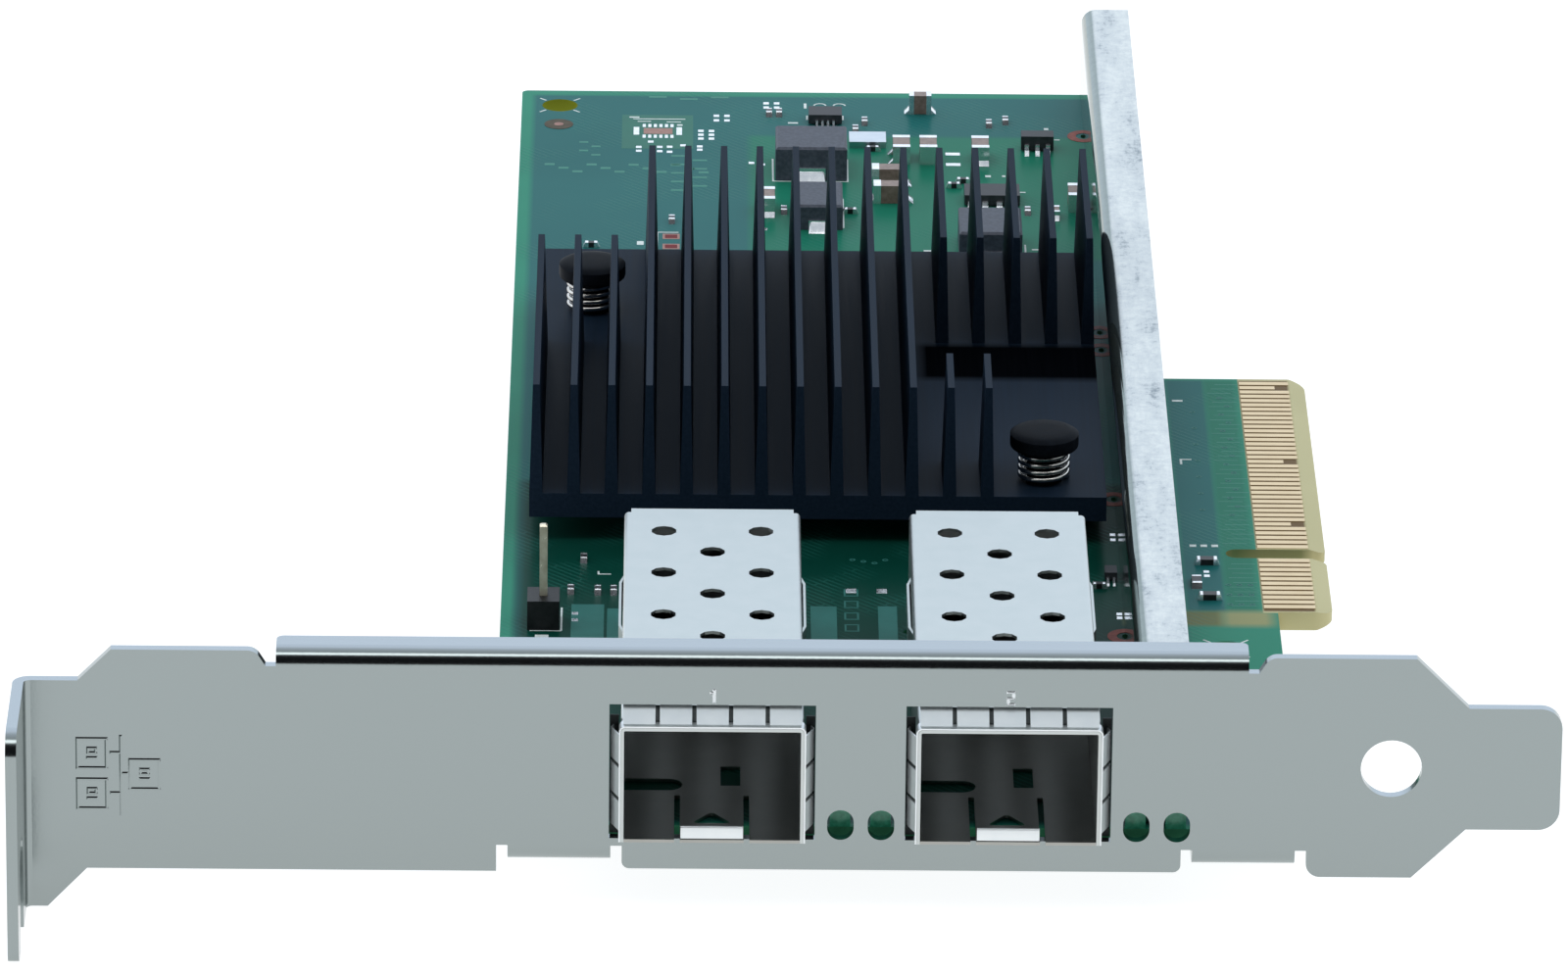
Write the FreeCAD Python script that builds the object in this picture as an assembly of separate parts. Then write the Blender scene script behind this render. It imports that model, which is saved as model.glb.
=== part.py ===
import FreeCAD, Part
import math
import os

# Dual-port network interface card: half-length board, full-height bracket, finned heatsink.
# Millimetres. Origin at the edge connector: X = 0 on the outer edge of the contact tongue,
# Y = 0 at the middle of its key notch, Z = 0 on the component side of the board.
# +X points into the slot, +Y away from the bracket, +Z off the component side.

V = FreeCAD.Vector

# ---- clearances and joints between pieces
SLIP = 0.1              # gap between a piece and the hole or wall it sits in
TOUCH = 0.02            # flat faces that rest on each other
FULL_ROUND = 0.98       # corner radius of a round-ended slot, as a share of half its width

# ---- circuit board
BOARD_T = 1.57
BOARD_MARGIN = 2.1              # heatsink to the long edge away from the slot
BOARD_LENGTH = 167.65
BOARD_NEAR_EDGE_X = -4.5        # slot-side edge between the bracket and the tongue
BOARD_FAR_EDGE_X = -13.5        # slot-side edge beyond the tongue
BRACKET_TO_KEY = 59.05          # front face of the bracket to the key notch
BRACKET_TO_BOARD = 1.9          # front face of the bracket to the board's near end
BOARD_CORNER_R = 0.6

# ---- edge connector tongue
KEY_W = 1.9
KEY_DEPTH = 8.25
TONGUE_NEAR_W = 11.65
TONGUE_FAR_W = 38.65
TONGUE_CORNER_R = 1.6
BEVEL_LENGTH = 1.3
BEVEL_DEPTH = 0.4
CONTACT_PITCH = 1.0
CONTACT_W = 0.7
CONTACT_LENGTH = 4.2
CONTACT_T = 0.05
CONTACT_SETBACK = 1.4           # outer edge of the tongue to the contacts
SHORT_CONTACT_CUT = 1.2
NEAR_CONTACTS = 11
FAR_CONTACTS = 38
FIRST_CONTACT_FROM_KEY = 1.5    # key centre to the nearest contact on each side
SHORT_CONTACTS = (17, 31, 48)

# ---- mounting bracket, folded from one sheet
SHEET_T = 0.86
BEND_R = 0.5                    # inside radius of every fold
BRACKET_LENGTH = 120.02
BRACKET_TIP_X = 15.29
BODY_BOTTOM_Z = -3.15
BODY_W = 18.42
NECK_BOTTOM_Z = -6.4
NECK_W = 19.05
NECK_TOP_CORNER = (5.0, 7.6)    # from the tab face: start and end of the upper slant
NECK_LOW_CORNER = (2.5, 5.6)
TAB_REACH = 11.43
TAB_CORNER_R = 2.0
NOTCH_W = 4.42
NOTCH_CENTRE = 6.35             # bracket face to the middle of the screw notch
NOTCH_DEPTH = 8.4
TONGUE_W = 10.19
TONGUE_START_X = 8.02
SHOULDER = 4.15                 # slant between the body and the bracket's tongue
TONGUE_TIP_R = 1.7
FLANGE_START = 20.35            # from the tab face
FLANGE_END_X = -9.13
FLANGE_REACH = 3.1
FLANGE_CORNER_R = 0.6
FLANGE_NOTCH_W = 0.8
FLANGE_NOTCH_DEPTH = 1.3
CORNER_R = 1.1
MID_CORNER_R = 0.6
MID_EDGE_LIFT = 0.3             # middle of the lower edge stands this much higher
BRACKET_HOLE_R = 2.38
BRACKET_HOLE_X = 2.11
EAR_W = 8.0
EAR_X = (-62.45, -9.2)
EAR_REACH = 10.0
EAR_CORNER_R = 1.5
RELIEF_W = 0.88
RELIEF_HEIGHT = 2.2

# ---- ports
PORT_X = (-50.58, -27.58)
PORT_NAMES = ("a", "b")
WINDOW_W = 16.0
WINDOW_BOTTOM_Z = -0.3
WINDOW_TOP_Z = 11.0
LED_HOLE_OFFSETS = (10.0, 13.15)    # port centre to the two lamp holes
LED_HOLE_W = 2.06
LED_HOLE_H = 2.5
LED_HOLE_Z = 0.95
LED_SIZE = (1.6, 1.1, 1.5)

# ---- port cages, folded from thin sheet
CAGE_T = 0.25
CAGE_W = 14.2
CAGE_H = 9.6
CAGE_LIFT = 0.1
CAGE_PROUD = 1.7                # mouth of the cage ahead of the bracket face
CAGE_REAR = 44.2                # bracket face to the rear wall
CAGE_FOLD_R = 0.12
CAGE_STEP_W = 0.55
CAGE_STEP_D = 1.1
VENT_R = 1.0
VENT_SIDES = 10
VENT_SIDE = 3.9
VENT_REAR = 5.1                 # rear wall to the last pair of side vents
VENT_PITCH = 8.8
VENT_ROWS = 4
CAGE_PIN_W = 0.6
CAGE_PIN_TAIL = 1.1
CAGE_PIN_FROM_REAR = (2.5, 14.0, 25.5)
PIN_HOLE_R = 0.5
PIN_HOLE_SIDES = 8
CLIP_LENGTH = 12.0
CLIP_T = 0.2
CLIP_GAP = 0.15                 # cage wall to the middle of a clip
CLIP_RAMP = 1.5
CLIP_START = 22.5               # bracket face to the ground clips
CLIP_Z = 5.3
CLIP_W = 2.4
LATCH_W = 5.4
LATCH_LENGTH = 8.7
LATCH_SLIT = 0.45
LATCH_HOLE_W = 3.1
LATCH_HOLE_L = 2.2
LATCH_PEAK = 5.5                # mouth to the tip of the latch hole
LATCH_LIP = 2.2                 # length of the ramp at the latch's free end
LATCH_LIP_RISE = 0.3
FLOOR_SLOT_TIP = 2.3            # centre line of the cage to the slot's round tip
FLOOR_SLOT_Y = (9.7, 12.0)      # from the mouth
FLOOR_HOLE_X = (0.7, 2.25)      # from the centre line of the cage
FLOOR_HOLE_Y = (10.7, 14.5)
COLLAR_T = 0.12
COLLAR_LENGTH = 1.3
FINGER_GAP = 0.35
TOP_FINGERS = 5
SIDE_FINGERS = 3
FINGER_ROOT = 0.5               # mouth to the root of a finger
FINGER_REACH = 2.6
FINGER_CREST = 1.6              # root to the highest point
FINGER_DROP = 0.45              # height left at the free end, as a share of the crest
SIDE_FINGER_MARGIN = 0.6

# ---- host connectors inside the cages
HOST_W = 11.6
HOST_L = 9.6
HOST_H = 5.8
HOST_SLOT_W = 9.8
HOST_SLOT_H = 1.8
HOST_SLOT_Z = 3.0
HOST_SLOT_DEPTH = 7.0
HOST_REAR_GAP = 0.6
HOST_CONTACTS = 10
HOST_PITCH = 0.8
HOST_LEAD_W = 0.35
HOST_LEAD_T = 0.2
HOST_LEAD_INSET = 0.5
HOST_FRONT_R = 0.5
HOST_REAR_R = 1.0

# ---- controller, thermal pad and heatsink
SINK_W = 47.5
SINK_L = 57.0
SINK_GAP = 1.0                  # heatsink to the stiffener bar
SINK_Y = 1.2                    # end nearest the ports
SINK_BASE_Z = 2.3
SINK_BASE_T = 2.1
FIN_COUNT = 16
FIN_H = 9.6
FIN_ROOT_T = 1.1
FIN_TIP_T = 0.55
FIN_BREAK = 35.0                # end nearest the ports to the pockets' edge
LEFT_POCKET_FINS = 3
STUB_FINS = 2
STUB_LENGTH = 7.8
LONG_FINS = 8
CHIP_SIZE = 25.0
CHIP_BASE_T = 1.2
LID_SIZE = 21.0
LID_T = 0.9
CHIP_CHAMFER = 0.8
LID_CHAMFER = 1.5

# ---- push pins and their springs
PIN_NEAR_INSET = (5.1, 4.0)     # in from the heatsink's corner by the bar and the ports
PIN_FAR_INSET = (4.8, 14.4)     # in from the opposite corner
PIN_SHANK_R = 1.4
PIN_HEAD_R = 3.05
PIN_HEAD_H = 1.9
PIN_BARB_R = 1.9
PIN_BARB_L = 2.4
PIN_TIP_R = 0.85
PIN_SLIT = 0.8
PIN_SLIT_DEPTH = 0.4            # above the underside of the board
# dome of the head from its rim inwards: shares of the head's radius and height
PIN_DOME = ((0.8, 0.0), (1.0, 0.35), (0.86, 0.78), (0.55, 1.0), (0.0, 1.0))
PIN_SPRING_GAP = 2.9            # heatsink base to the underside of the head
SPRING_R = 2.0
WIRE_R = 0.2
SPRING_TURNS = 4
TURN_STEPS = 12                 # straight stretches in each turn
WIRE_SIDES = 5

# ---- stiffener bar along the slot side
BAR_X = -17.1                   # face towards the heatsink
BAR_T = 1.0
BAR_H = 8.2
BAR_FLANGE_W = 4.2
BAR_BEND_R = 0.3
BAR_START = 3.0                 # behind the bracket's front face
PEG_W = 1.0
PEG_TAIL = 0.9
PEG_ROOT = 0.2
PEG_HOLE_R = 0.75
PEG_SPOTS = (-18.0, 11.8, 46.2, 50.4, 99.5)

# ---- fasteners
SCREW_R = 1.2
SCREW_HEAD_R = 2.2
SCREW_HEAD_H = 1.5
SCREW_TAIL = 0.6
SCREW_FROM_FACE = 6.5
DRIVE_R = 0.9
DRIVE_DEPTH = 0.7
MOUNT_HOLE_R = 1.6
FAR_HOLE_INSET = (3.45, 3.9)    # in from the board's far top corner
NEAR_HOLE = (-9.0, -20.4)

# ---- header
HEADER_INSET = 2.2              # in from the board's long edge
HEADER_Y = -17.7
HEADER_SIZE = (2.6, 3.1, 2.54)
HEADER_PIN_W = 0.64
HEADER_PIN_TOP = 8.7
HEADER_PIN_TAIL = 1.4
HEADER_PIN_CHAMFER = 0.15

# ---- small parts: (x, y, width along X, depth along Y, height)
INDUCTORS = {
    "inductor_large": (-44.85, 87.45, 6.35, 5.9, 3.1),
    "inductor_small": (-43.3, 75.0, 4.3, 6.2, 2.3),
    "inductor_side": (-28.9, 66.9, 5.5, 6.5, 2.9),
}
INDUCTOR_CHAMFER = 0.2
TAG_SHARE = 0.4                 # of the inductor's width and height
TAG_T = 0.3
OSCILLATOR = (-38.2, 96.0, 3.3, 2.7, 0.6)
# (x, y, width, depth, height, lead pitch)
LEADED_CHIPS = {
    "memory_chip": (-41.8, 101.85, 3.0, 2.3, 1.0, 0.5),
    "switch_chip": (-22.8, 95.4, 2.9, 1.6, 1.45, 0.95),
    "regulator_chip": (-28.15, 81.15, 4.9, 3.0, 1.1, 1.27),
    "sensor_chip": (-18.4, -6.3, 1.0, 1.6, 0.8, 0.5),
}
# leads along each of the two sides that have them
LEAD_COUNT = {"memory_chip": 4, "switch_chip": 3, "regulator_chip": 4, "sensor_chip": 2}
LEAD_SHARE = 0.4                # width of a lead, of the pitch
LEAD_T = 0.15
LEAD_REACH = 0.9
LEAD_KNEE = 0.36
# sizes of the two-ended parts: across, along, height
LONG_CAP = (1.55, 3.1, 1.7)
TALL_CAP = (1.25, 2.0, 1.8)
LOW_CAP = (0.8, 1.6, 0.8)
SMALL_CHIP = (0.5, 1.0, 0.45)
LARGE_CHIP = (0.8, 1.6, 0.5)
# lower corner, size and the axis that the part lies along
CERAMIC_CAPS = (
    (-34.35, 91.8, LONG_CAP, "Y"),
    (-31.95, 91.8, LONG_CAP, "Y"),
    (-27.3, 91.8, LONG_CAP, "Y"),
    (-46.5, 78.3, LONG_CAP, "Y"),
    (-19.0, 79.8, LONG_CAP, "Y"),
    (-36.3, 86.0, LONG_CAP, "X"),
    (-36.2, 81.75, LONG_CAP, "X"),
    (-32.7, 104.9, TALL_CAP, "X"),
    (-20.6, 78.0, LOW_CAP, "Y"),
)
CAP_END_SHARE = 0.22            # of the capacitor's length, at each end
CAP_END_MAX = 0.65
CAP_INSET = 0.03
CHIP_RESISTORS = (
    (-61.6, 70.2, SMALL_CHIP, "X"), (-36.6, 95.1, SMALL_CHIP, "X"), (-19.4, -7.9, SMALL_CHIP, "X"),
    (-29.5, 85.8, SMALL_CHIP, "X"), (-28.65, 87.0, SMALL_CHIP, "X"), (-38.8, 79.1, SMALL_CHIP, "X"),
    (-45.6, 104.1, SMALL_CHIP, "Y"), (-44.7, 104.1, SMALL_CHIP, "Y"), (-54.3, 76.4, SMALL_CHIP, "Y"),
    (-61.3, -3.0, SMALL_CHIP, "Y"), (-60.1, -9.9, SMALL_CHIP, "Y"), (-58.8, -9.9, SMALL_CHIP, "Y"),
    (-62.3, -9.8, SMALL_CHIP, "Y"), (-37.0, 102.0, SMALL_CHIP, "Y"), (-37.85, 99.9, SMALL_CHIP, "Y"),
    (-25.8, 101.6, SMALL_CHIP, "Y"), (-24.3, 102.5, SMALL_CHIP, "Y"), (-44.4, 79.0, SMALL_CHIP, "Y"),
    (-22.85, 79.2, SMALL_CHIP, "Y"), (-10.7, -2.6, LARGE_CHIP, "X"), (-10.75, -10.2, LARGE_CHIP, "X"),
    (-11.3, -7.5, LARGE_CHIP, "Y"),
)
UNDERSIDE_ROW_COUNT = 3
UNDERSIDE_COLUMN_COUNT = 5
UNDERSIDE_PITCH = 3.0

# ---- places worked out from the sizes above
TAB_FACE_X = BRACKET_TIP_X - BRACKET_LENGTH
FACE_Y = -BRACKET_TO_KEY
BOARD_Y0 = FACE_Y + BRACKET_TO_BOARD
BOARD_Y1 = BOARD_Y0 + BOARD_LENGTH
TONGUE_Y0 = -KEY_W / 2 - TONGUE_NEAR_W
TONGUE_Y1 = KEY_W / 2 + TONGUE_FAR_W
BODY_TOP_Z = BODY_BOTTOM_Z + BODY_W
NECK_TOP_Z = NECK_BOTTOM_Z + NECK_W
BODY_MID_Z = BODY_BOTTOM_Z + BODY_W / 2
SINK_TOP_Z = SINK_BASE_Z + SINK_BASE_T
SINK_X1 = BAR_X - SINK_GAP
SINK_X = SINK_X1 - SINK_W
SINK_Y1 = SINK_Y + SINK_L
BOARD_TOP_EDGE_X = SINK_X - BOARD_MARGIN
HEADER_X = BOARD_TOP_EDGE_X + HEADER_INSET
MOUNT_HOLES = ((BOARD_TOP_EDGE_X + FAR_HOLE_INSET[0], BOARD_Y1 - FAR_HOLE_INSET[1]), NEAR_HOLE)
PIN_SPOTS = {
    "near": (SINK_X1 - PIN_NEAR_INSET[0], SINK_Y + PIN_NEAR_INSET[1]),
    "far": (SINK_X + PIN_FAR_INSET[0], SINK_Y1 - PIN_FAR_INSET[1]),
}
CAGE_TOP_Z = CAGE_LIFT + CAGE_H
CAGE_Y0 = FACE_Y - CAGE_PROUD
CAGE_Y1 = FACE_Y + CAGE_REAR
SCREW_Y = FACE_Y + SCREW_FROM_FACE
EAR_TOP_Z = -BOARD_T - TOUCH


def box(x0, x1, y0, y1, z0, z1):
    return Part.makeBox(x1 - x0, y1 - y0, z1 - z0, V(x0, y0, z0))


def block(spec, z=0.0):
    x, y, w, d, h = spec
    return box(x, x + w, y, y + d, z, z + h)


def rod(x, y, r, z0, z1):
    return Part.makeCylinder(r, z1 - z0, V(x, y, z0))


def facets(x, y, r, z0, z1, sides):
    """Small repeated round hole as a prism of the same area."""
    turn = 2 * math.pi / sides
    size = r * math.sqrt(turn / math.sin(turn))
    corners = [(x + size * math.cos((k + 0.5) * turn), y + size * math.sin((k + 0.5) * turn))
               for k in range(sides)]
    return slab_z(corners, z0, z1)


def outline(corners, place):
    """Closed face through corners (u, v) or (u, v, radius); place turns (u, v) into a point."""
    flat = [(c[0], c[1], c[2] if len(c) > 2 else 0.0) for c in corners]
    edges = []
    starts, ends, arcs = [], [], []
    for i, (u, v, r) in enumerate(flat):
        pu, pv = flat[i - 1][:2]
        nu, nv = flat[(i + 1) % len(flat)][:2]
        back = V(pu - u, pv - v, 0).normalize()
        ahead = V(nu - u, nv - v, 0).normalize()
        here = V(u, v, 0)
        if r <= 0:
            starts.append(here)
            ends.append(here)
            arcs.append(None)
            continue
        half = back.getAngle(ahead) / 2
        run = r / math.tan(half)
        centre = here + (back + ahead).normalize() * (r / math.sin(half))
        middle = centre + (here - centre).normalize() * r
        starts.append(here + back * run)
        ends.append(here + ahead * run)
        arcs.append(middle)
    for i in range(len(flat)):
        if arcs[i] is not None:
            three = [place(p.x, p.y) for p in (starts[i], arcs[i], ends[i])]
            edges.append(Part.Arc(*three).toShape())
        a, b = ends[i], starts[(i + 1) % len(flat)]
        if (b - a).Length > 1e-6:
            edges.append(Part.makeLine(place(a.x, a.y), place(b.x, b.y)))
    return Part.Face(Part.Wire(edges))


def slab_z(corners, z0, z1):
    return outline(corners, lambda u, v: V(u, v, z0)).extrude(V(0, 0, z1 - z0))


def slab_y(corners, y0, y1):
    return outline(corners, lambda u, v: V(u, y0, v)).extrude(V(0, y1 - y0, 0))


def slab_x(corners, x0, x1):
    return outline(corners, lambda u, v: V(x0, u, v)).extrude(V(x1 - x0, 0, 0))


def rectangle(u0, u1, v0, v1, r=0.0):
    return [(u0, v0, r), (u1, v0, r), (u1, v1, r), (u0, v1, r)]


def fold(reach, height, t, inside):
    """L section: a wall of the given height turned over into a leg of the given reach."""
    return [(0, 0), (t, 0), (t, height - t, inside), (reach, height - t), (reach, height),
            (0, height, inside + t)]


def fuse(shapes):
    first, rest = shapes[0], shapes[1:]
    return first.fuse(rest).removeSplitter() if rest else first


def cut(shape, tools):
    return shape.cut(tools) if tools else shape


def save(name, shape):
    shape.exportStep("parts/" + name + ".step")


# ---- circuit board ------------------------------------------------------------------------

def bevel_cutter(side):
    """Wedge that thins the outer edge of the tongue from one side of the board."""
    if side > 0:
        wedge = [(SLIP, SLIP), (-BEVEL_LENGTH, SLIP), (-BEVEL_LENGTH, 0), (SLIP, -BEVEL_DEPTH)]
    else:
        low = -BOARD_T
        wedge = [(SLIP, low - SLIP), (SLIP, low + BEVEL_DEPTH), (-BEVEL_LENGTH, low),
                 (-BEVEL_LENGTH, low - SLIP)]
    return slab_y(wedge, TONGUE_Y0 - SLIP, TONGUE_Y1 + SLIP)


def circuit_board():
    r = BOARD_CORNER_R
    key = KEY_W / 2
    edge = [
        (BOARD_TOP_EDGE_X, BOARD_Y0, r), (BOARD_NEAR_EDGE_X, BOARD_Y0, r),
        (BOARD_NEAR_EDGE_X, TONGUE_Y0), (0, TONGUE_Y0, TONGUE_CORNER_R),
        (0, -key, r), (-KEY_DEPTH, -key, key * FULL_ROUND), (-KEY_DEPTH, key, key * FULL_ROUND),
        (0, key, r),
        (0, TONGUE_Y1, TONGUE_CORNER_R), (BOARD_FAR_EDGE_X, TONGUE_Y1, r),
        (BOARD_FAR_EDGE_X, BOARD_Y1, r), (BOARD_TOP_EDGE_X, BOARD_Y1, r),
    ]
    board = slab_z(edge, -BOARD_T, 0)
    holes = [rod(x, y, MOUNT_HOLE_R, -BOARD_T - 1, 1) for x, y in MOUNT_HOLES]
    holes += [rod(x, y, PIN_SHANK_R + SLIP, -BOARD_T - 1, 1) for x, y in PIN_SPOTS.values()]
    holes += [rod(EAR_X[i], SCREW_Y, SCREW_R + SLIP, -BOARD_T - 1, 1) for i in range(2)]
    holes += [facets(BAR_X + BAR_T / 2, y, PEG_HOLE_R, -BOARD_T - 1, 1, PIN_HOLE_SIDES)
              for y in PEG_SPOTS]
    hx, hy = header_centre()
    holes.append(facets(hx, hy, HEADER_PIN_W / math.sqrt(2) + SLIP, -BOARD_T - 1, 1, PIN_HOLE_SIDES))
    for i in range(len(PORT_X)):
        for side in (-1, 1):
            x = PORT_X[i] + side * (CAGE_W - CAGE_T) / 2
            holes += [facets(x, CAGE_Y1 - d, PIN_HOLE_R, -BOARD_T - 1, 1, PIN_HOLE_SIDES)
                      for d in CAGE_PIN_FROM_REAR]
    return cut(board, holes + [bevel_cutter(1), bevel_cutter(-1)])


def contact_rows():
    """Place along Y and number of every contact, counted from the bracket end."""
    for n in range(1, NEAR_CONTACTS + 1):
        yield n, -FIRST_CONTACT_FROM_KEY - (NEAR_CONTACTS - n) * CONTACT_PITCH
    for n in range(FAR_CONTACTS):
        yield NEAR_CONTACTS + 1 + n, FIRST_CONTACT_FROM_KEY + n * CONTACT_PITCH


def contacts(z0, z1, short):
    strips = []
    for n, y in contact_rows():
        x1 = -CONTACT_SETBACK - (SHORT_CONTACT_CUT if n in short else 0)
        x0 = -CONTACT_SETBACK - CONTACT_LENGTH
        strips.append(box(x0, x1, y - CONTACT_W / 2, y + CONTACT_W / 2, z0, z1))
    return Part.makeCompound(strips)


# ---- mounting bracket ---------------------------------------------------------------------

def bracket_outline():
    """Flat part of the bracket, as (x, z) corners seen from the front."""
    x = TAB_FACE_X
    lift = MID_EDGE_LIFT
    ear_l, ear_r = EAR_X
    flange_z = BODY_TOP_Z - SHEET_T - BEND_R
    notch_z = BODY_TOP_Z - FLANGE_NOTCH_DEPTH
    start, end = x + FLANGE_START, FLANGE_END_X
    gap = FLANGE_NOTCH_W
    shoulder = TONGUE_START_X - SHOULDER
    tongue_low = BODY_MID_Z - TONGUE_W / 2
    tongue_top = BODY_MID_Z + TONGUE_W / 2
    fold_x = x + SHEET_T + BEND_R
    return [
        (fold_x, NECK_BOTTOM_Z), (x + NECK_LOW_CORNER[0], NECK_BOTTOM_Z),
        (x + NECK_LOW_CORNER[1], BODY_BOTTOM_Z), (ear_l - EAR_W / 2 - RELIEF_W, BODY_BOTTOM_Z),
        (ear_l - EAR_W / 2 - RELIEF_W, BODY_BOTTOM_Z + RELIEF_HEIGHT),
        (ear_l - EAR_W / 2, BODY_BOTTOM_Z + RELIEF_HEIGHT),
        (ear_l - EAR_W / 2, EAR_TOP_Z + BEND_R), (ear_l + EAR_W / 2, EAR_TOP_Z + BEND_R),
        (ear_l + EAR_W / 2, BODY_BOTTOM_Z + RELIEF_HEIGHT),
        (ear_l + EAR_W / 2 + RELIEF_W, BODY_BOTTOM_Z + RELIEF_HEIGHT),
        (ear_l + EAR_W / 2 + RELIEF_W, BODY_BOTTOM_Z + lift, MID_CORNER_R),
        (ear_r - EAR_W / 2 - RELIEF_W, BODY_BOTTOM_Z + lift, MID_CORNER_R),
        (ear_r - EAR_W / 2 - RELIEF_W, BODY_BOTTOM_Z + RELIEF_HEIGHT),
        (ear_r - EAR_W / 2, BODY_BOTTOM_Z + RELIEF_HEIGHT),
        (ear_r - EAR_W / 2, EAR_TOP_Z + BEND_R), (ear_r + EAR_W / 2, EAR_TOP_Z + BEND_R),
        (ear_r + EAR_W / 2, BODY_BOTTOM_Z + RELIEF_HEIGHT),
        (ear_r + EAR_W / 2 + RELIEF_W, BODY_BOTTOM_Z + RELIEF_HEIGHT),
        (ear_r + EAR_W / 2 + RELIEF_W, BODY_BOTTOM_Z, CORNER_R),
        (shoulder, BODY_BOTTOM_Z), (TONGUE_START_X, tongue_low),
        (BRACKET_TIP_X, tongue_low, TONGUE_TIP_R), (BRACKET_TIP_X, tongue_top, TONGUE_TIP_R),
        (TONGUE_START_X, tongue_top), (shoulder, BODY_TOP_Z),
        (end + 2 * gap, BODY_TOP_Z, CORNER_R), (end + gap, notch_z), (end, notch_z),
        (end, flange_z), (start, flange_z), (start, notch_z), (start - gap, notch_z),
        (start - 2 * gap, BODY_TOP_Z, CORNER_R),
        (x + NECK_TOP_CORNER[1], BODY_TOP_Z), (x + NECK_TOP_CORNER[0], NECK_TOP_Z),
        (fold_x, NECK_TOP_Z),
    ]


def screw_tab():
    """Tab folded towards the outside, with its open screw notch."""
    x, y = TAB_FACE_X, FACE_Y
    section = [(x, y + SHEET_T, BEND_R + SHEET_T), (x, y - TAB_REACH), (x + SHEET_T, y - TAB_REACH),
               (x + SHEET_T, y, BEND_R), (x + SHEET_T + BEND_R, y), (x + SHEET_T + BEND_R, y + SHEET_T)]
    tab = slab_z(section, NECK_BOTTOM_Z, NECK_TOP_Z)
    front = y - TAB_REACH
    r = TAB_CORNER_R
    side = slab_x([(y + 1, NECK_BOTTOM_Z), (y + 1, NECK_TOP_Z), (front, NECK_TOP_Z, r),
                   (front, NECK_BOTTOM_Z, r / 2)], x - 1, x + SHEET_T + 2 * BEND_R + 1)
    middle = y - NOTCH_CENTRE
    w = NOTCH_W / 2
    top = NECK_BOTTOM_Z + NOTCH_DEPTH
    notch = slab_x([(middle - w, NECK_BOTTOM_Z - 1), (middle + w, NECK_BOTTOM_Z - 1),
                    (middle + w, top, w * FULL_ROUND), (middle - w, top, w * FULL_ROUND)],
                   x - 1, x + SHEET_T + 1)
    return tab.common(side).cut(notch)


def ear(i):
    """Ear folded under the board, with its threaded hole."""
    x0 = EAR_X[i] - EAR_W / 2
    low = EAR_TOP_Z - SHEET_T
    r = BEND_R
    y = FACE_Y
    side = [(y, EAR_TOP_Z + r), (y, low, r + SHEET_T), (y + EAR_REACH, low),
            (y + EAR_REACH, EAR_TOP_Z), (y + SHEET_T, EAR_TOP_Z, r), (y + SHEET_T, EAR_TOP_Z + r)]
    plate = slab_x(side, x0, x0 + EAR_W)
    corner = EAR_CORNER_R
    trim = slab_z([(x0, y - 1), (x0 + EAR_W, y - 1), (x0 + EAR_W, y + EAR_REACH, corner),
                   (x0, y + EAR_REACH, corner)], low - 1, EAR_TOP_Z + r + 1)
    return plate.common(trim).cut(rod(EAR_X[i], SCREW_Y, SCREW_R + TOUCH, low - 1, EAR_TOP_Z + 1))


def top_flange():
    y = FACE_Y
    low = BODY_TOP_Z - SHEET_T - BEND_R
    x0, x1 = TAB_FACE_X + FLANGE_START, FLANGE_END_X
    shape = slab_x([(y + u, low + v, *r) for u, v, *r in
                    fold(FLANGE_REACH, BODY_TOP_Z - low, SHEET_T, BEND_R)], x0, x1)
    r = FLANGE_CORNER_R
    trim = slab_z([(x0, y - 1), (x1, y - 1), (x1, y + FLANGE_REACH, r), (x0, y + FLANGE_REACH, r)],
                  low - 1, BODY_TOP_Z + 1)
    return shape.common(trim)


def mounting_bracket():
    plate = slab_y(bracket_outline(), FACE_Y, FACE_Y + SHEET_T)
    bracket = fuse([plate, screw_tab(), ear(0), ear(1), top_flange()])
    y0, y1 = FACE_Y - 1, FACE_Y + SHEET_T + 1
    holes = []
    for i in range(len(PORT_X)):
        x = PORT_X[i]
        window = rectangle(x - WINDOW_W / 2, x + WINDOW_W / 2, WINDOW_BOTTOM_Z, WINDOW_TOP_Z)
        holes.append(slab_y(window, y0, y1))
        for offset in LED_HOLE_OFFSETS:
            u = x + offset
            half = LED_HOLE_W / 2
            lamp = rectangle(u - half, u + half, LED_HOLE_Z - LED_HOLE_H / 2,
                             LED_HOLE_Z + LED_HOLE_H / 2, half * FULL_ROUND)
            holes.append(slab_y(lamp, y0, y1))
    centre = V(BRACKET_HOLE_X, y0, BODY_MID_Z)
    holes.append(Part.makeCylinder(BRACKET_HOLE_R, y1 - y0, centre, V(0, 1, 0)))
    return cut(bracket, holes)


# ---- port cages ---------------------------------------------------------------------------

def vent_spots(x):
    for row in range(VENT_ROWS):
        y = CAGE_Y1 - VENT_REAR - row * VENT_PITCH
        yield x - VENT_SIDE, y
        yield x + VENT_SIDE, y
        yield x, y - VENT_PITCH / 2


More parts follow.
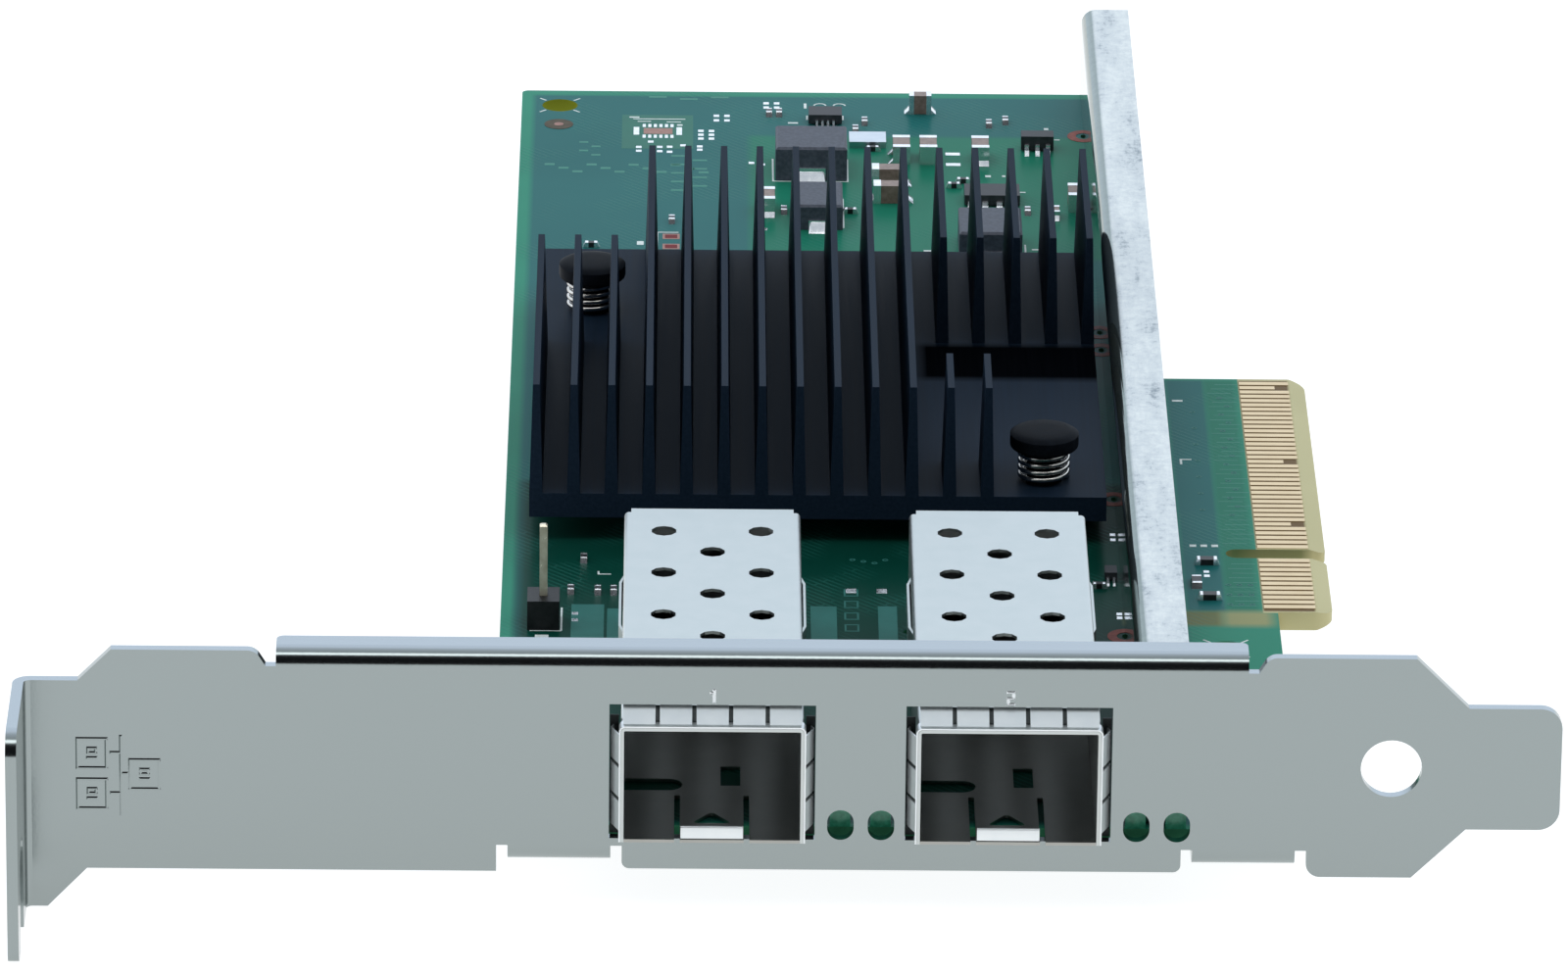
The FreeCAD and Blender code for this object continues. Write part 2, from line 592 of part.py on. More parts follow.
def cage_cover(i):
    """Folded top and sides with vents, rear flap, ground clips and board pins."""
    x = PORT_X[i]
    w = CAGE_W / 2
    r = CAGE_FOLD_R + CAGE_T
    top = CAGE_TOP_Z
    low = CAGE_LIFT
    shell = [(x - w, low), (x - w, top, r), (x + w, top, r), (x + w, low), (x + w - CAGE_T, low),
             (x + w - CAGE_T, top - CAGE_T, CAGE_FOLD_R), (x - w + CAGE_T, top - CAGE_T, CAGE_FOLD_R),
             (x - w + CAGE_T, low)]
    pieces = [slab_y(shell, CAGE_Y0, CAGE_Y1 - CAGE_STEP_D)]
    inner = w - CAGE_STEP_W
    flap = [(CAGE_Y1 - CAGE_STEP_D, top - CAGE_T), (CAGE_Y1 - CAGE_STEP_D, top), (CAGE_Y1, top, r),
            (CAGE_Y1, low), (CAGE_Y1 - CAGE_T, low), (CAGE_Y1 - CAGE_T, top - CAGE_T, CAGE_FOLD_R)]
    pieces.append(slab_x(flap, x - inner, x + inner))
    for side in (-1, 1):
        wall = x + side * w
        edge = sorted((wall, wall - side * CAGE_T))
        for d in CAGE_PIN_FROM_REAR:
            y = CAGE_Y1 - d
            pin = [(y - CAGE_PIN_W / 2, low), (y + CAGE_PIN_W / 2, low),
                   (y + CAGE_PIN_W / 4, -BOARD_T - CAGE_PIN_TAIL),
                   (y - CAGE_PIN_W / 4, -BOARD_T - CAGE_PIN_TAIL)]
            pieces.append(slab_x(pin, *edge))
        tip = wall + side * (CLIP_T + CLIP_GAP)
        bow = tip - side * CLIP_T
        y0, y1 = FACE_Y + CLIP_START, FACE_Y + CLIP_START + CLIP_LENGTH
        ramp, root = CLIP_RAMP, CLIP_RAMP / 2
        clip = [(wall, y0), (tip, y0 + ramp), (tip, y1 - ramp), (wall, y1), (wall, y1 - root),
                (bow, y1 - ramp - CLIP_T), (bow, y0 + ramp + CLIP_T), (wall, y0 + root)]
        pieces.append(slab_z(clip, CLIP_Z, CLIP_Z + CLIP_W))
    vents = [facets(u, v, VENT_R, top - 1, top + 1, VENT_SIDES) for u, v in vent_spots(x)]
    return cut(fuse(pieces), vents)


def cage_base(i):
    """Floor of the cage: latch tongue with its ramp at the mouth, a slot and a hole behind it."""
    x = PORT_X[i]
    w = CAGE_W / 2 - CAGE_T - TOUCH
    top = CAGE_LIFT + CAGE_T
    floor = box(x - w, x + w, CAGE_Y0, host_y0(), CAGE_LIFT, top)
    z0, z1 = CAGE_LIFT - 1, CAGE_LIFT + 1
    half = LATCH_W / 2
    slits = [box(x + s * half - LATCH_SLIT / 2, x + s * half + LATCH_SLIT / 2, CAGE_Y0 - 1,
                 CAGE_Y0 + LATCH_LENGTH, z0, z1) for s in (-1, 1)]
    peak = CAGE_Y0 + LATCH_PEAK
    base = peak - LATCH_HOLE_L
    latch_hole = slab_z([(x - LATCH_HOLE_W / 2, base, 0.2), (x + LATCH_HOLE_W / 2, base, 0.2),
                         (x, peak, 0.3)], z0, z1)
    near, far = (CAGE_Y0 + y for y in FLOOR_SLOT_Y)
    slot = slab_z(rectangle(x - w - 1, x - FLOOR_SLOT_TIP, near, far, (far - near) / 2 * FULL_ROUND),
                  z0, z1)
    hole = box(x + FLOOR_HOLE_X[0], x + FLOOR_HOLE_X[1], CAGE_Y0 + FLOOR_HOLE_Y[0],
               CAGE_Y0 + FLOOR_HOLE_Y[1], z0, z1)
    ramp = slab_x([(CAGE_Y0, CAGE_LIFT), (CAGE_Y0, top), (CAGE_Y0 + LATCH_LIP, top + LATCH_LIP_RISE),
                   (CAGE_Y0 + LATCH_LIP, CAGE_LIFT)], x - half + LATCH_SLIT / 2, x + half - LATCH_SLIT / 2)
    return cut(floor.fuse(ramp), slits + [latch_hole, slot, hole]).removeSplitter()


def finger(width, rise):
    """Spring finger section along (y, z), bowed out from the collar by rise."""
    y = CAGE_Y0 + FINGER_ROOT
    t = COLLAR_T
    crest = y + FINGER_CREST
    end = y + FINGER_REACH
    drop = rise * FINGER_DROP
    return slab_x([(y, 0), (crest, rise - t), (end, drop), (end, drop + t), (crest, rise), (y, t)],
                  -width / 2, width / 2)


def spring_collar(i):
    """Grounding collar round the mouth, with fingers that reach for the window's edge."""
    x = PORT_X[i]
    w = CAGE_W / 2 + TOUCH
    t = COLLAR_T
    low, top = CAGE_LIFT, CAGE_TOP_Z + TOUCH
    r = CAGE_FOLD_R + CAGE_T
    ring = [(x - w - t, low), (x - w - t, top + t, r + t), (x + w + t, top + t, r + t), (x + w + t, low),
            (x + w, low), (x + w, top, r), (x - w, top, r), (x - w, low)]
    pieces = [slab_y(ring, CAGE_Y0, CAGE_Y0 + COLLAR_LENGTH)]
    pitch = CAGE_W / TOP_FINGERS
    rise = WINDOW_TOP_Z - SLIP - top
    for n in range(TOP_FINGERS):
        one = finger(pitch - FINGER_GAP, rise)
        one.translate(V(x + (n - (TOP_FINGERS - 1) / 2) * pitch, 0, top))
        pieces.append(one)
    side_rise = WINDOW_W / 2 - SLIP - w
    side_pitch = (CAGE_H - 2 * SIDE_FINGER_MARGIN) / SIDE_FINGERS
    for side in (-1, 1):
        for n in range(SIDE_FINGERS):
            one = finger(side_pitch - FINGER_GAP, side_rise)
            one.rotate(V(0, 0, 0), V(0, 1, 0), 90 * side)
            z = low + SIDE_FINGER_MARGIN + (n + 0.5) * side_pitch
            one.translate(V(x + side * w, 0, z))
            pieces.append(one)
    return fuse(pieces)


def host_y0():
    return CAGE_Y1 - CAGE_T - HOST_REAR_GAP - HOST_L


def host_connector(i):
    x = PORT_X[i]
    y0 = host_y0() + SLIP
    y1 = y0 + HOST_L - SLIP
    half = HOST_W / 2
    body = slab_x([(y0, 0), (y1, 0), (y1, HOST_H, HOST_REAR_R), (y0, HOST_H, HOST_FRONT_R)],
                  x - half, x + half)
    z = HOST_SLOT_Z
    slot = box(x - HOST_SLOT_W / 2, x + HOST_SLOT_W / 2, y0 - 1, y0 + HOST_SLOT_DEPTH,
               z, z + HOST_SLOT_H)
    return body.cut(slot)


def host_contacts(i):
    """Two rows of contact blades that line the connector's slot."""
    x = PORT_X[i]
    y0 = host_y0() + SLIP + HOST_LEAD_INSET
    blades = []
    for n in range(HOST_CONTACTS):
        u = x + (n - (HOST_CONTACTS - 1) / 2) * HOST_PITCH
        for z in (HOST_SLOT_Z, HOST_SLOT_Z + HOST_SLOT_H - HOST_LEAD_T):
            blades.append(box(u - HOST_LEAD_W / 2, u + HOST_LEAD_W / 2, y0,
                              y0 + HOST_SLOT_DEPTH - 2 * HOST_LEAD_INSET, z, z + HOST_LEAD_T))
    return Part.makeCompound(blades)


# ---- heatsink and what holds it -------------------------------------------------------------

def fin(n, y0, y1):
    pitch = (SINK_W - FIN_ROOT_T) / (FIN_COUNT - 1)
    x = SINK_X + FIN_ROOT_T / 2 + n * pitch
    root, tip = FIN_ROOT_T / 2, FIN_TIP_T / 2
    top = SINK_TOP_Z + FIN_H
    low = SINK_TOP_Z - SINK_BASE_T / 2
    return slab_y([(x - root, low), (x + root, low), (x + root, SINK_TOP_Z), (x + tip, top),
                   (x - tip, top), (x - root, SINK_TOP_Z)], y0, y1)


def heatsink():
    """Extruded fins on a base plate, milled away round the two push pins."""
    pieces = [box(SINK_X, SINK_X1, SINK_Y, SINK_Y1, SINK_BASE_Z, SINK_TOP_Z)]
    middle = SINK_Y + FIN_BREAK
    for n in range(FIN_COUNT):
        if n < LEFT_POCKET_FINS:
            pieces.append(fin(n, SINK_Y, middle))
        elif n < LEFT_POCKET_FINS + LONG_FINS:
            pieces.append(fin(n, SINK_Y, SINK_Y1))
        else:
            pieces.append(fin(n, middle, SINK_Y1))
            if n < LEFT_POCKET_FINS + LONG_FINS + STUB_FINS:
                pieces.append(fin(n, SINK_Y, SINK_Y + STUB_LENGTH))
    holes = [rod(x, y, PIN_SHANK_R + SLIP, SINK_BASE_Z - 1, SINK_TOP_Z + 1)
             for x, y in PIN_SPOTS.values()]
    return cut(fuse(pieces), holes)


def sink_centre():
    return SINK_X + SINK_W / 2, SINK_Y + SINK_L / 2


def square(size, z0, z1, chamfer):
    x, y = sink_centre()
    h = size / 2
    c = chamfer
    corners = [(x - h + c, y - h), (x + h, y - h), (x + h, y + h), (x - h, y + h), (x - h, y - h + c)]
    return slab_z(corners, z0, z1)


def push_pin(x, y):
    """Plastic pin: domed head, shank and split barb that snaps under the board."""
    head = SINK_TOP_Z + PIN_SPRING_GAP
    barb = -BOARD_T - SLIP
    tip = barb - PIN_BARB_L
    collar = barb - PIN_BARB_L / 4
    points = [V(0, 0, tip), V(PIN_TIP_R, 0, tip), V(PIN_BARB_R, 0, collar), V(PIN_BARB_R, 0, barb),
              V(PIN_SHANK_R, 0, barb), V(PIN_SHANK_R, 0, head)]
    points += [V(PIN_HEAD_R * u, 0, head + PIN_HEAD_H * v) for u, v in PIN_DOME]
    profile = Part.makePolygon(points + points[:1])
    pin = Part.Face(profile).revolve(V(0, 0, 0), V(0, 0, 1), 360)
    slit = box(-PIN_SLIT / 2, PIN_SLIT / 2, -PIN_HEAD_R, PIN_HEAD_R, tip - 1, barb + PIN_SLIT_DEPTH)
    pin = pin.cut(slit)
    pin.translate(V(x, y, 0))
    return pin


def pin_spring(x, y):
    """Wire coil squeezed between the heatsink and the pin's head."""
    base = SINK_TOP_Z + WIRE_R + TOUCH
    rise = (PIN_SPRING_GAP - 2 * WIRE_R - 2 * TOUCH) / (SPRING_TURNS * TURN_STEPS)
    rings = []
    for n in range(SPRING_TURNS * TURN_STEPS + 1):
        turn = 2 * math.pi * n / TURN_STEPS
        ring = []
        for k in range(WIRE_SIDES):
            a = 2 * math.pi * k / WIRE_SIDES
            r = SPRING_R + WIRE_R * math.cos(a)
            ring.append(V(x + r * math.cos(turn), y + r * math.sin(turn),
                          base + n * rise + WIRE_R * math.sin(a)))
        rings.append(ring)
    triangles = []
    for near, far in zip(rings, rings[1:]):
        for k in range(WIRE_SIDES):
            m = (k + 1) % WIRE_SIDES
            triangles += [(near[k], near[m], far[m]), (near[k], far[m], far[k])]
    for k in range(1, WIRE_SIDES - 1):
        triangles += [(rings[0][0], rings[0][k + 1], rings[0][k]),
                      (rings[-1][0], rings[-1][k], rings[-1][k + 1])]
    faces = [Part.Face(Part.makePolygon([a, b, c, a])) for a, b, c in triangles]
    shell = Part.makeShell(faces)
    shell.sewShape()
    coil = Part.makeSolid(shell)
    if coil.Volume < 0:
        coil.reverse()
    return coil


# ---- stiffener, screws, header and lamps ------------------------------------------------------

def stiffener_bar():
    """Angle section that stands on the board, held by pegs soldered into plated holes."""
    section = [(BAR_X + u, v, *r) for u, v, *r in fold(BAR_FLANGE_W, BAR_H, BAR_T, BAR_BEND_R)]
    bar = slab_y(section, FACE_Y + BAR_START, BOARD_Y1)
    pegs = [box(BAR_X, BAR_X + BAR_T, y - PEG_W / 2, y + PEG_W / 2, -BOARD_T - PEG_TAIL, PEG_ROOT)
            for y in PEG_SPOTS]
    return fuse([bar] + pegs)


def bracket_screws():
    screws = []
    for i in range(len(EAR_X)):
        x = EAR_X[i]
        shank = rod(x, SCREW_Y, SCREW_R, EAR_TOP_Z - SHEET_T - SCREW_TAIL, TOUCH)
        head = rod(x, SCREW_Y, SCREW_HEAD_R, TOUCH, TOUCH + SCREW_HEAD_H)
        top = TOUCH + SCREW_HEAD_H
        drive = facets(x, SCREW_Y, DRIVE_R, top - DRIVE_DEPTH, top + 1, 6)
        screws.append(fuse([shank, head]).cut(drive))
    return Part.makeCompound(screws)


def header_centre():
    return HEADER_X + HEADER_SIZE[0] / 2, HEADER_Y + HEADER_SIZE[1] / 2


def header_block():
    x, y = header_centre()
    half = HEADER_PIN_W / 2 + TOUCH
    w, d, h = HEADER_SIZE
    body = box(HEADER_X, HEADER_X + w, HEADER_Y, HEADER_Y + d, 0, h)
    return body.cut(box(x - half, x + half, y - half, y + half, -1, h + 1))


def header_pin():
    x, y = header_centre()
    half = HEADER_PIN_W / 2
    pin = box(x - half, x + half, y - half, y + half, -BOARD_T - HEADER_PIN_TAIL, HEADER_PIN_TOP)
    rim = [e for e in pin.Edges if e.CenterOfMass.z > HEADER_PIN_TOP - TOUCH]
    return pin.makeChamfer(HEADER_PIN_CHAMFER, rim)


def port_lamps():
    lamps = []
    w, d, h = LED_SIZE
    for i in range(len(PORT_X)):
        for offset in LED_HOLE_OFFSETS:
            x = PORT_X[i] + offset
            lamps.append(box(x - w / 2, x + w / 2, BOARD_Y0, BOARD_Y0 + d, 0, h))
    return Part.makeCompound(lamps)


# ---- small parts on the board -------------------------------------------------------------

def inductor(spec):
    """Moulded block with a chamfered top and a solder tag at each end."""
    x, y, w, d, h = spec
    body = block(spec, TOUCH)
    body = body.makeChamfer(INDUCTOR_CHAMFER, [e for e in body.Edges if e.CenterOfMass.z > h])
    middle, half = x + w / 2, w * TAG_SHARE / 2
    tags = [box(middle - half, middle + half, v - TAG_T / 2, v + TAG_T / 2, 0, h * TAG_SHARE)
            for v in (y, y + d)]
    return body.cut(tags), Part.makeCompound(tags)


def leaded_chip(spec, count):
    """Body and bent leads of a small chip, leads on the two sides along X."""
    x, y, w, d, h, pitch = spec
    body = box(x, x + w, y, y + d, LEAD_T, h)
    leads = []
    lead_w = pitch * LEAD_SHARE
    for n in range(count):
        u = x + w / 2 + (n - (count - 1) / 2) * pitch - lead_w / 2
        mid = h / 2
        for wall, out in ((y, -1), (y + d, 1)):
            knee, toe = wall + out * LEAD_KNEE, wall + out * LEAD_REACH
            inside = knee - out * LEAD_T
            section = [(wall, mid), (knee, mid), (knee, LEAD_T), (toe, LEAD_T), (toe, 0),
                       (inside, 0), (inside, mid - LEAD_T), (wall, mid - LEAD_T)]
            leads.append(slab_x(section, u, u + lead_w))
    return body, Part.makeCompound(leads)


def lie(spec):
    """A two-ended part's place as (x, y, width along X, depth along Y, height) and its axis."""
    x, y, (across, along, height), axis = spec
    if axis == "X":
        return x, y, along, across, height, axis
    return x, y, across, along, height, axis


def ceramic_parts(specs):
    """Ceramic bodies and the plated caps on their two ends."""
    bodies, caps = [], []
    i = CAP_INSET
    for x, y, w, d, h, axis in map(lie, specs):
        end = min(CAP_END_MAX, max(w, d) * CAP_END_SHARE)
        if axis == "X":
            bodies.append(box(x + end, x + w - end, y + i, y + d - i, i, h - i))
            caps += [box(u, u + end, y, y + d, 0, h) for u in (x, x + w - end)]
        else:
            bodies.append(box(x + i, x + w - i, y + end, y + d - end, i, h - i))
            caps += [box(x, x + w, v, v + end, 0, h) for v in (y, y + d - end)]
    return Part.makeCompound(bodies), Part.makeCompound(caps)


def chip_resistors():
    return Part.makeCompound([box(x, x + w, y, y + d, 0, h)
                              for x, y, w, d, h, axis in map(lie, CHIP_RESISTORS)])


def underside_capacitors():
    x, y = sink_centre()
    across, along, height = SMALL_CHIP
    parts = []
    for row in range(UNDERSIDE_ROW_COUNT):
        for column in range(UNDERSIDE_COLUMN_COUNT):
            u = x + (column - (UNDERSIDE_COLUMN_COUNT - 1) / 2) * UNDERSIDE_PITCH
            v = y + (row - (UNDERSIDE_ROW_COUNT - 1) / 2) * UNDERSIDE_PITCH
            parts.append(box(u, u + along, v, v + across, -BOARD_T - height, -BOARD_T))
    return Part.makeCompound(parts)


def main():
    os.makedirs("parts", exist_ok=True)
    save("circuit_board", circuit_board())
    save("edge_contacts_top", contacts(0, CONTACT_T, SHORT_CONTACTS))
    save("edge_contacts_bottom", contacts(-BOARD_T - CONTACT_T, -BOARD_T, ()))
    save("mounting_bracket", mounting_bracket())
    save("bracket_screws", bracket_screws())
    for i, name in enumerate(PORT_NAMES):
        save("cage_cover_" + name, cage_cover(i))
        save("cage_base_" + name, cage_base(i))
        save("spring_collar_" + name, spring_collar(i))
        save("host_connector_" + name, host_connector(i))
        save("host_contacts_" + name, host_contacts(i))
    save("heatsink", heatsink())
    save("controller_base", square(CHIP_SIZE, 0, CHIP_BASE_T, CHIP_CHAMFER))
    save("controller_lid", square(LID_SIZE, CHIP_BASE_T, CHIP_BASE_T + LID_T, LID_CHAMFER))
    save("thermal_pad", square(LID_SIZE, CHIP_BASE_T + LID_T, SINK_BASE_Z, LID_CHAMFER))
    for name, (x, y) in PIN_SPOTS.items():
        save("push_pin_" + name, push_pin(x, y))
        save("pin_spring_" + name, pin_spring(x, y))
    save("stiffener_bar", stiffener_bar())
    save("header_block", header_block())
    save("header_pin", header_pin())
    save("port_lamps", port_lamps())
    for name, spec in INDUCTORS.items():
        body, tags = inductor(spec)
        save(name, body)
        save(name + "_tags", tags)
    save("oscillator_can", block(OSCILLATOR))
    for name, spec in LEADED_CHIPS.items():
        body, leads = leaded_chip(spec, LEAD_COUNT[name])
        save(name, body)
        save(name + "_leads", leads)
    bodies, caps = ceramic_parts(CERAMIC_CAPS)
    save("capacitor_bodies", bodies)
    save("capacitor_ends", caps)
    save("chip_resistors", chip_resistors())
    save("underside_capacitors", underside_capacitors())


main()
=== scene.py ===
# %% [markdown]
# # A dual-port network card
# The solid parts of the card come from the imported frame: board, bracket, cages, heatsink, bar and
# chips. This lesson gives each of them its finish, and models the small things that a camera close
# to the card sees: the coil springs, the domed pins, solder, pads, rings, printed lines and marks.
# Everything is in metres and in the card's own frame: +X points into the slot, +Y runs away from
# the bracket, and +Z comes off the component side.

# %% Load the card
import bpy
import math
from mathutils import Matrix, Vector


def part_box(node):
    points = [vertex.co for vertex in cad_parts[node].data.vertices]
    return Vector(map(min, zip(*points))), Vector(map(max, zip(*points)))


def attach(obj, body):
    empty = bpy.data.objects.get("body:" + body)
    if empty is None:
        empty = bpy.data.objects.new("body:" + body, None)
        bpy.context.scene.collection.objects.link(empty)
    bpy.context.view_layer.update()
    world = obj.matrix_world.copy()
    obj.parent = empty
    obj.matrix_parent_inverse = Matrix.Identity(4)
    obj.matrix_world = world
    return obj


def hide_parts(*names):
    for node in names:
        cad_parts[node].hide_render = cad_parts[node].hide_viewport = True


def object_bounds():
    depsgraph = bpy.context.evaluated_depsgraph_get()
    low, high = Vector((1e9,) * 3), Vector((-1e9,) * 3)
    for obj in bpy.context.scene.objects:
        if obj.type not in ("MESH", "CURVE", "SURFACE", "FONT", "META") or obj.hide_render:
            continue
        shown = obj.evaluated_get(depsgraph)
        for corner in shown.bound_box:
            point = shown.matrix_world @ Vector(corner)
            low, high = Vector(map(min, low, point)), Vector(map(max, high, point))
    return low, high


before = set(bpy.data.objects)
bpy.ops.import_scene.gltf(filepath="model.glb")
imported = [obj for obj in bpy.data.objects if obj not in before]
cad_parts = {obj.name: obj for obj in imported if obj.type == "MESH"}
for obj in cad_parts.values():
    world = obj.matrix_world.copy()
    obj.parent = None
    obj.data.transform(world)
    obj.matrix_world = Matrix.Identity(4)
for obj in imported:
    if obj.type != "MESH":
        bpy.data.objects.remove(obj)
cad_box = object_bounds()
MM = 0.001
print("the card's box, mm:", [[round(v / MM, 1) for v in corner] for corner in cad_box])

# %% [markdown]
# ## Camera
# A long lens from about a metre away keeps the long edges of the board nearly parallel. The camera
# stands in front of the bracket and looks down a little over 20 degrees, so that the bracket, the
# cages, the heatsink and the far end of the board all show.

# %% Place the camera
CAMERA_SPOT = Vector((-53.98, -919.74, 373.39)) * MM
CAMERA_DOWN = math.radians(21.79)
CAMERA_TURN = math.radians(-0.58)
CAMERA_ROLL = math.radians(0.66)
LENS_MM = 277.0

camera_data = bpy.data.cameras.new("camera")
camera_data.lens = LENS_MM
camera_data.sensor_width = 36.0
camera_data.clip_start = 0.05
camera = bpy.data.objects.new("camera", camera_data)
aim = (Matrix.Rotation(CAMERA_TURN, 4, "Z") @ Matrix.Rotation(math.pi / 2 - CAMERA_DOWN, 4, "X")
       @ Matrix.Rotation(CAMERA_ROLL, 4, "Z"))
camera.matrix_world = Matrix.Translation(CAMERA_SPOT) @ aim
bpy.context.collection.objects.link(camera)
bpy.context.scene.camera = camera
print("camera at", [round(v, 3) for v in CAMERA_SPOT])

# %% [markdown]
# ## Floor and light
# The card lies on a plain white floor that glows a little, so that hardly any shadow falls on it.
# A long strip light hangs high above the front: the bracket's bend mirrors it as a bright line, and
# the tops of the cages and fins shine. A small weak light on the left lifts the sides.

# %% Tools for modelling by hand
def clear():
    """Leave edit mode, with nothing selected."""
    if bpy.context.object and bpy.context.object.mode != "OBJECT":
        bpy.ops.object.mode_set(mode="OBJECT")
    bpy.ops.object.select_all(action="DESELECT")


def bake_place(piece):
    """Move the place, turn and scale of an object into its mesh."""
    clear()
    piece.select_set(True)
    bpy.context.view_layer.objects.active = piece
    bpy.ops.object.transform_apply(location=True, rotation=True, scale=True)
    return piece


def start_box(name, low, high):
    """A cube primitive that fills the box between two corners, given in millimetres."""
    clear()
    middle = [(a + b) / 2 * MM for a, b in zip(low, high)]
    size = [(b - a) * MM for a, b in zip(low, high)]
    bpy.ops.mesh.primitive_cube_add(size=1, location=middle, scale=size)
    piece = bpy.context.object
    piece.name = name
    return bake_place(piece)


def choose(piece, test, kind="FACE"):
    """Open a piece in edit mode with the faces or edges chosen whose middle (mm) passes a test."""
    clear()
    piece.select_set(True)
    bpy.context.view_layer.objects.active = piece
    bpy.ops.object.mode_set(mode="EDIT")
    bpy.ops.mesh.select_mode(type=kind)
    bpy.ops.mesh.select_all(action="DESELECT")
    bpy.ops.object.mode_set(mode="OBJECT")
    mesh = piece.data
    if kind == "FACE":
        for face in mesh.polygons:
            face.select = test(face.center / MM, face.normal)
    else:
        for edge in mesh.edges:
            a, b = (mesh.vertices[i].co for i in edge.vertices)
            edge.select = test((a + b) / 2 / MM, (b - a).normalized())
    bpy.ops.object.mode_set(mode="EDIT")


def join(name, pieces):
    """Join pieces into the first of them."""
    clear()
    for piece in pieces:
        piece.select_set(True)
    bpy.context.view_layer.objects.active = pieces[0]
    if len(pieces) > 1:
        bpy.ops.object.join()
    pieces[0].name = name
    return pieces[0]


def apply_modifier(piece, kind, **settings):
    """Add a modifier with its settings and apply it."""
    clear()
    piece.select_set(True)
    bpy.context.view_layer.objects.active = piece
    modifier = piece.modifiers.new(kind.lower(), kind)
    for key, value in settings.items():
        setattr(modifier, key, value)
    bpy.ops.object.modifier_apply(modifier=modifier.name)
    return piece


def copy_to(piece, x, y):
    """A copy with its own mesh, moved by millimetres."""
    twin = piece.copy()
    twin.data = piece.data.copy()
    bpy.context.collection.objects.link(twin)
    twin.location = Vector((x, y, 0.0)) * MM
    return bake_place(twin)


def finished(piece, finish, smooth=None):
    """Give a piece its finish, and let it move with the card."""
    clear()
    piece.data.materials.clear()
    piece.data.materials.append(finish)
    if smooth is not None:
        piece.select_set(True)
        bpy.context.view_layer.objects.active = piece
        bpy.ops.object.shade_smooth_by_angle(angle=math.radians(smooth))
    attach(piece, "root")
    print(piece.name, "has", len(piece.data.polygons), "faces")
    return piece


# %% Floor
FLOOR_HALF = 3000
FLOOR_T = 10
floor_z = cad_box[0][2] / MM
floor = start_box("floor", (-FLOOR_HALF, -FLOOR_HALF, floor_z - FLOOR_T), (FLOOR_HALF, FLOOR_HALF, floor_z))
print("floor top at", round(floor_z, 2), "mm")

# %% Lights
def soft_light(name, spot, target, size, power, color):
    """A flat lamp, wide by high, that faces a target."""
    data = bpy.data.lights.new(name, "AREA")
    data.shape = "RECTANGLE"
    data.size, data.size_y = size
    data.energy = power
    data.color = color
    lamp = bpy.data.objects.new(name, data)
    lamp.location = spot
    lamp.rotation_euler = (Vector(target) - Vector(spot)).to_track_quat("-Z", "Y").to_euler()
    bpy.context.collection.objects.link(lamp)
    return lamp


CARD = (-0.045, 0.02, 0.0)
soft_light("strip_light", (-0.045, -0.56, 1.24), CARD, (1.8, 0.34), 4.6, (0.98, 0.99, 1.0))
soft_light("side_light", (-1.3, 0.5, 0.7), CARD, (0.5, 0.5), 0.8, (0.94, 0.97, 1.0))
print("two soft lights")

# %% [markdown]
# The room is pale at the sides and above. Only where the camera stands is it dark, and a folded
# edge that turns from the front face to the top mirrors that as a thin dark line.

# %% Room
TO_CAMERA = (0.0, -0.9, 0.43)
WALL_TONES = ((0.0, (1.08, 1.22, 1.4, 1)), (0.42, (1.04, 1.16, 1.3, 1)), (0.58, (0.74, 0.81, 0.88, 1)),
              (0.9, (0.5, 0.54, 0.58, 1)), (0.945, (0.01, 0.01, 0.012, 1)))   # away from the camera to it
world = bpy.data.worlds.new("room")
world.use_nodes = True
room = world.node_tree
direction = room.nodes.new("ShaderNodeTexCoord")
towards = room.nodes.new("ShaderNodeVectorMath")
towards.operation = "DOT_PRODUCT"
towards.inputs[1].default_value = TO_CAMERA
share = room.nodes.new("ShaderNodeMapRange")
share.inputs["From Min"].default_value = -1.0
walls = room.nodes.new("ShaderNodeValToRGB")
for place, color in WALL_TONES:
    stop = walls.color_ramp.elements.new(place)
    stop.color = color
walls.color_ramp.elements.remove(walls.color_ramp.elements[0])
walls.color_ramp.elements.remove(walls.color_ramp.elements[-1])
room.links.new(direction.outputs["Generated"], towards.inputs[0])
room.links.new(towards.outputs["Value"], share.inputs["Value"])
room.links.new(share.outputs["Result"], walls.inputs["Fac"])
room.links.new(walls.outputs["Color"], room.nodes["Background"].inputs["Color"])
bpy.context.scene.world = world
bpy.context.scene.view_settings.view_transform = "Standard"
print("a pale room with a dark side where the camera is")

# %% [markdown]
# ## Finishes
# Every finish is one Principled shader. Its constants sit on the shader's own sockets, and what
# varies comes from textures in object coordinates, so that the grain stays on the part when the
# part is moved. The small helpers below read like a sentence: new_finish starts a material, grain
# adds a texture, shades turns it into colour, polish into roughness and relief into height.

# %% Helpers for finishes
def tint(red, green, blue):
    """Screen colour, 0 to 255, as the linear colour that a shader wants."""
    def linear(v):
        v /= 255
        return v / 12.92 if v <= 0.04045 else ((v + 0.055) / 1.055) ** 2.4
    return (linear(red), linear(green), linear(blue), 1.0)


def new_finish(name, color, roughness, metallic=0.0, **sockets):
    finish = bpy.data.materials.new(name)
    finish.use_nodes = True
    shader = finish.node_tree.nodes["Principled BSDF"]
    shader.inputs["Base Color"].default_value = color
    shader.inputs["Roughness"].default_value = roughness
    shader.inputs["Metallic"].default_value = metallic
    for key, value in sockets.items():
        shader.inputs[key.replace("_", " ")].default_value = value
    return finish


def add_node(finish, kind, **values):
    """Add a node; a value sets a property of that name, or else the input socket."""
    node = finish.node_tree.nodes.new("ShaderNode" + kind)
    for key, value in values.items():
        if hasattr(node, key):
            setattr(node, key, value)
        else:
            node.inputs[key.replace("_", " ")].default_value = value
    return node


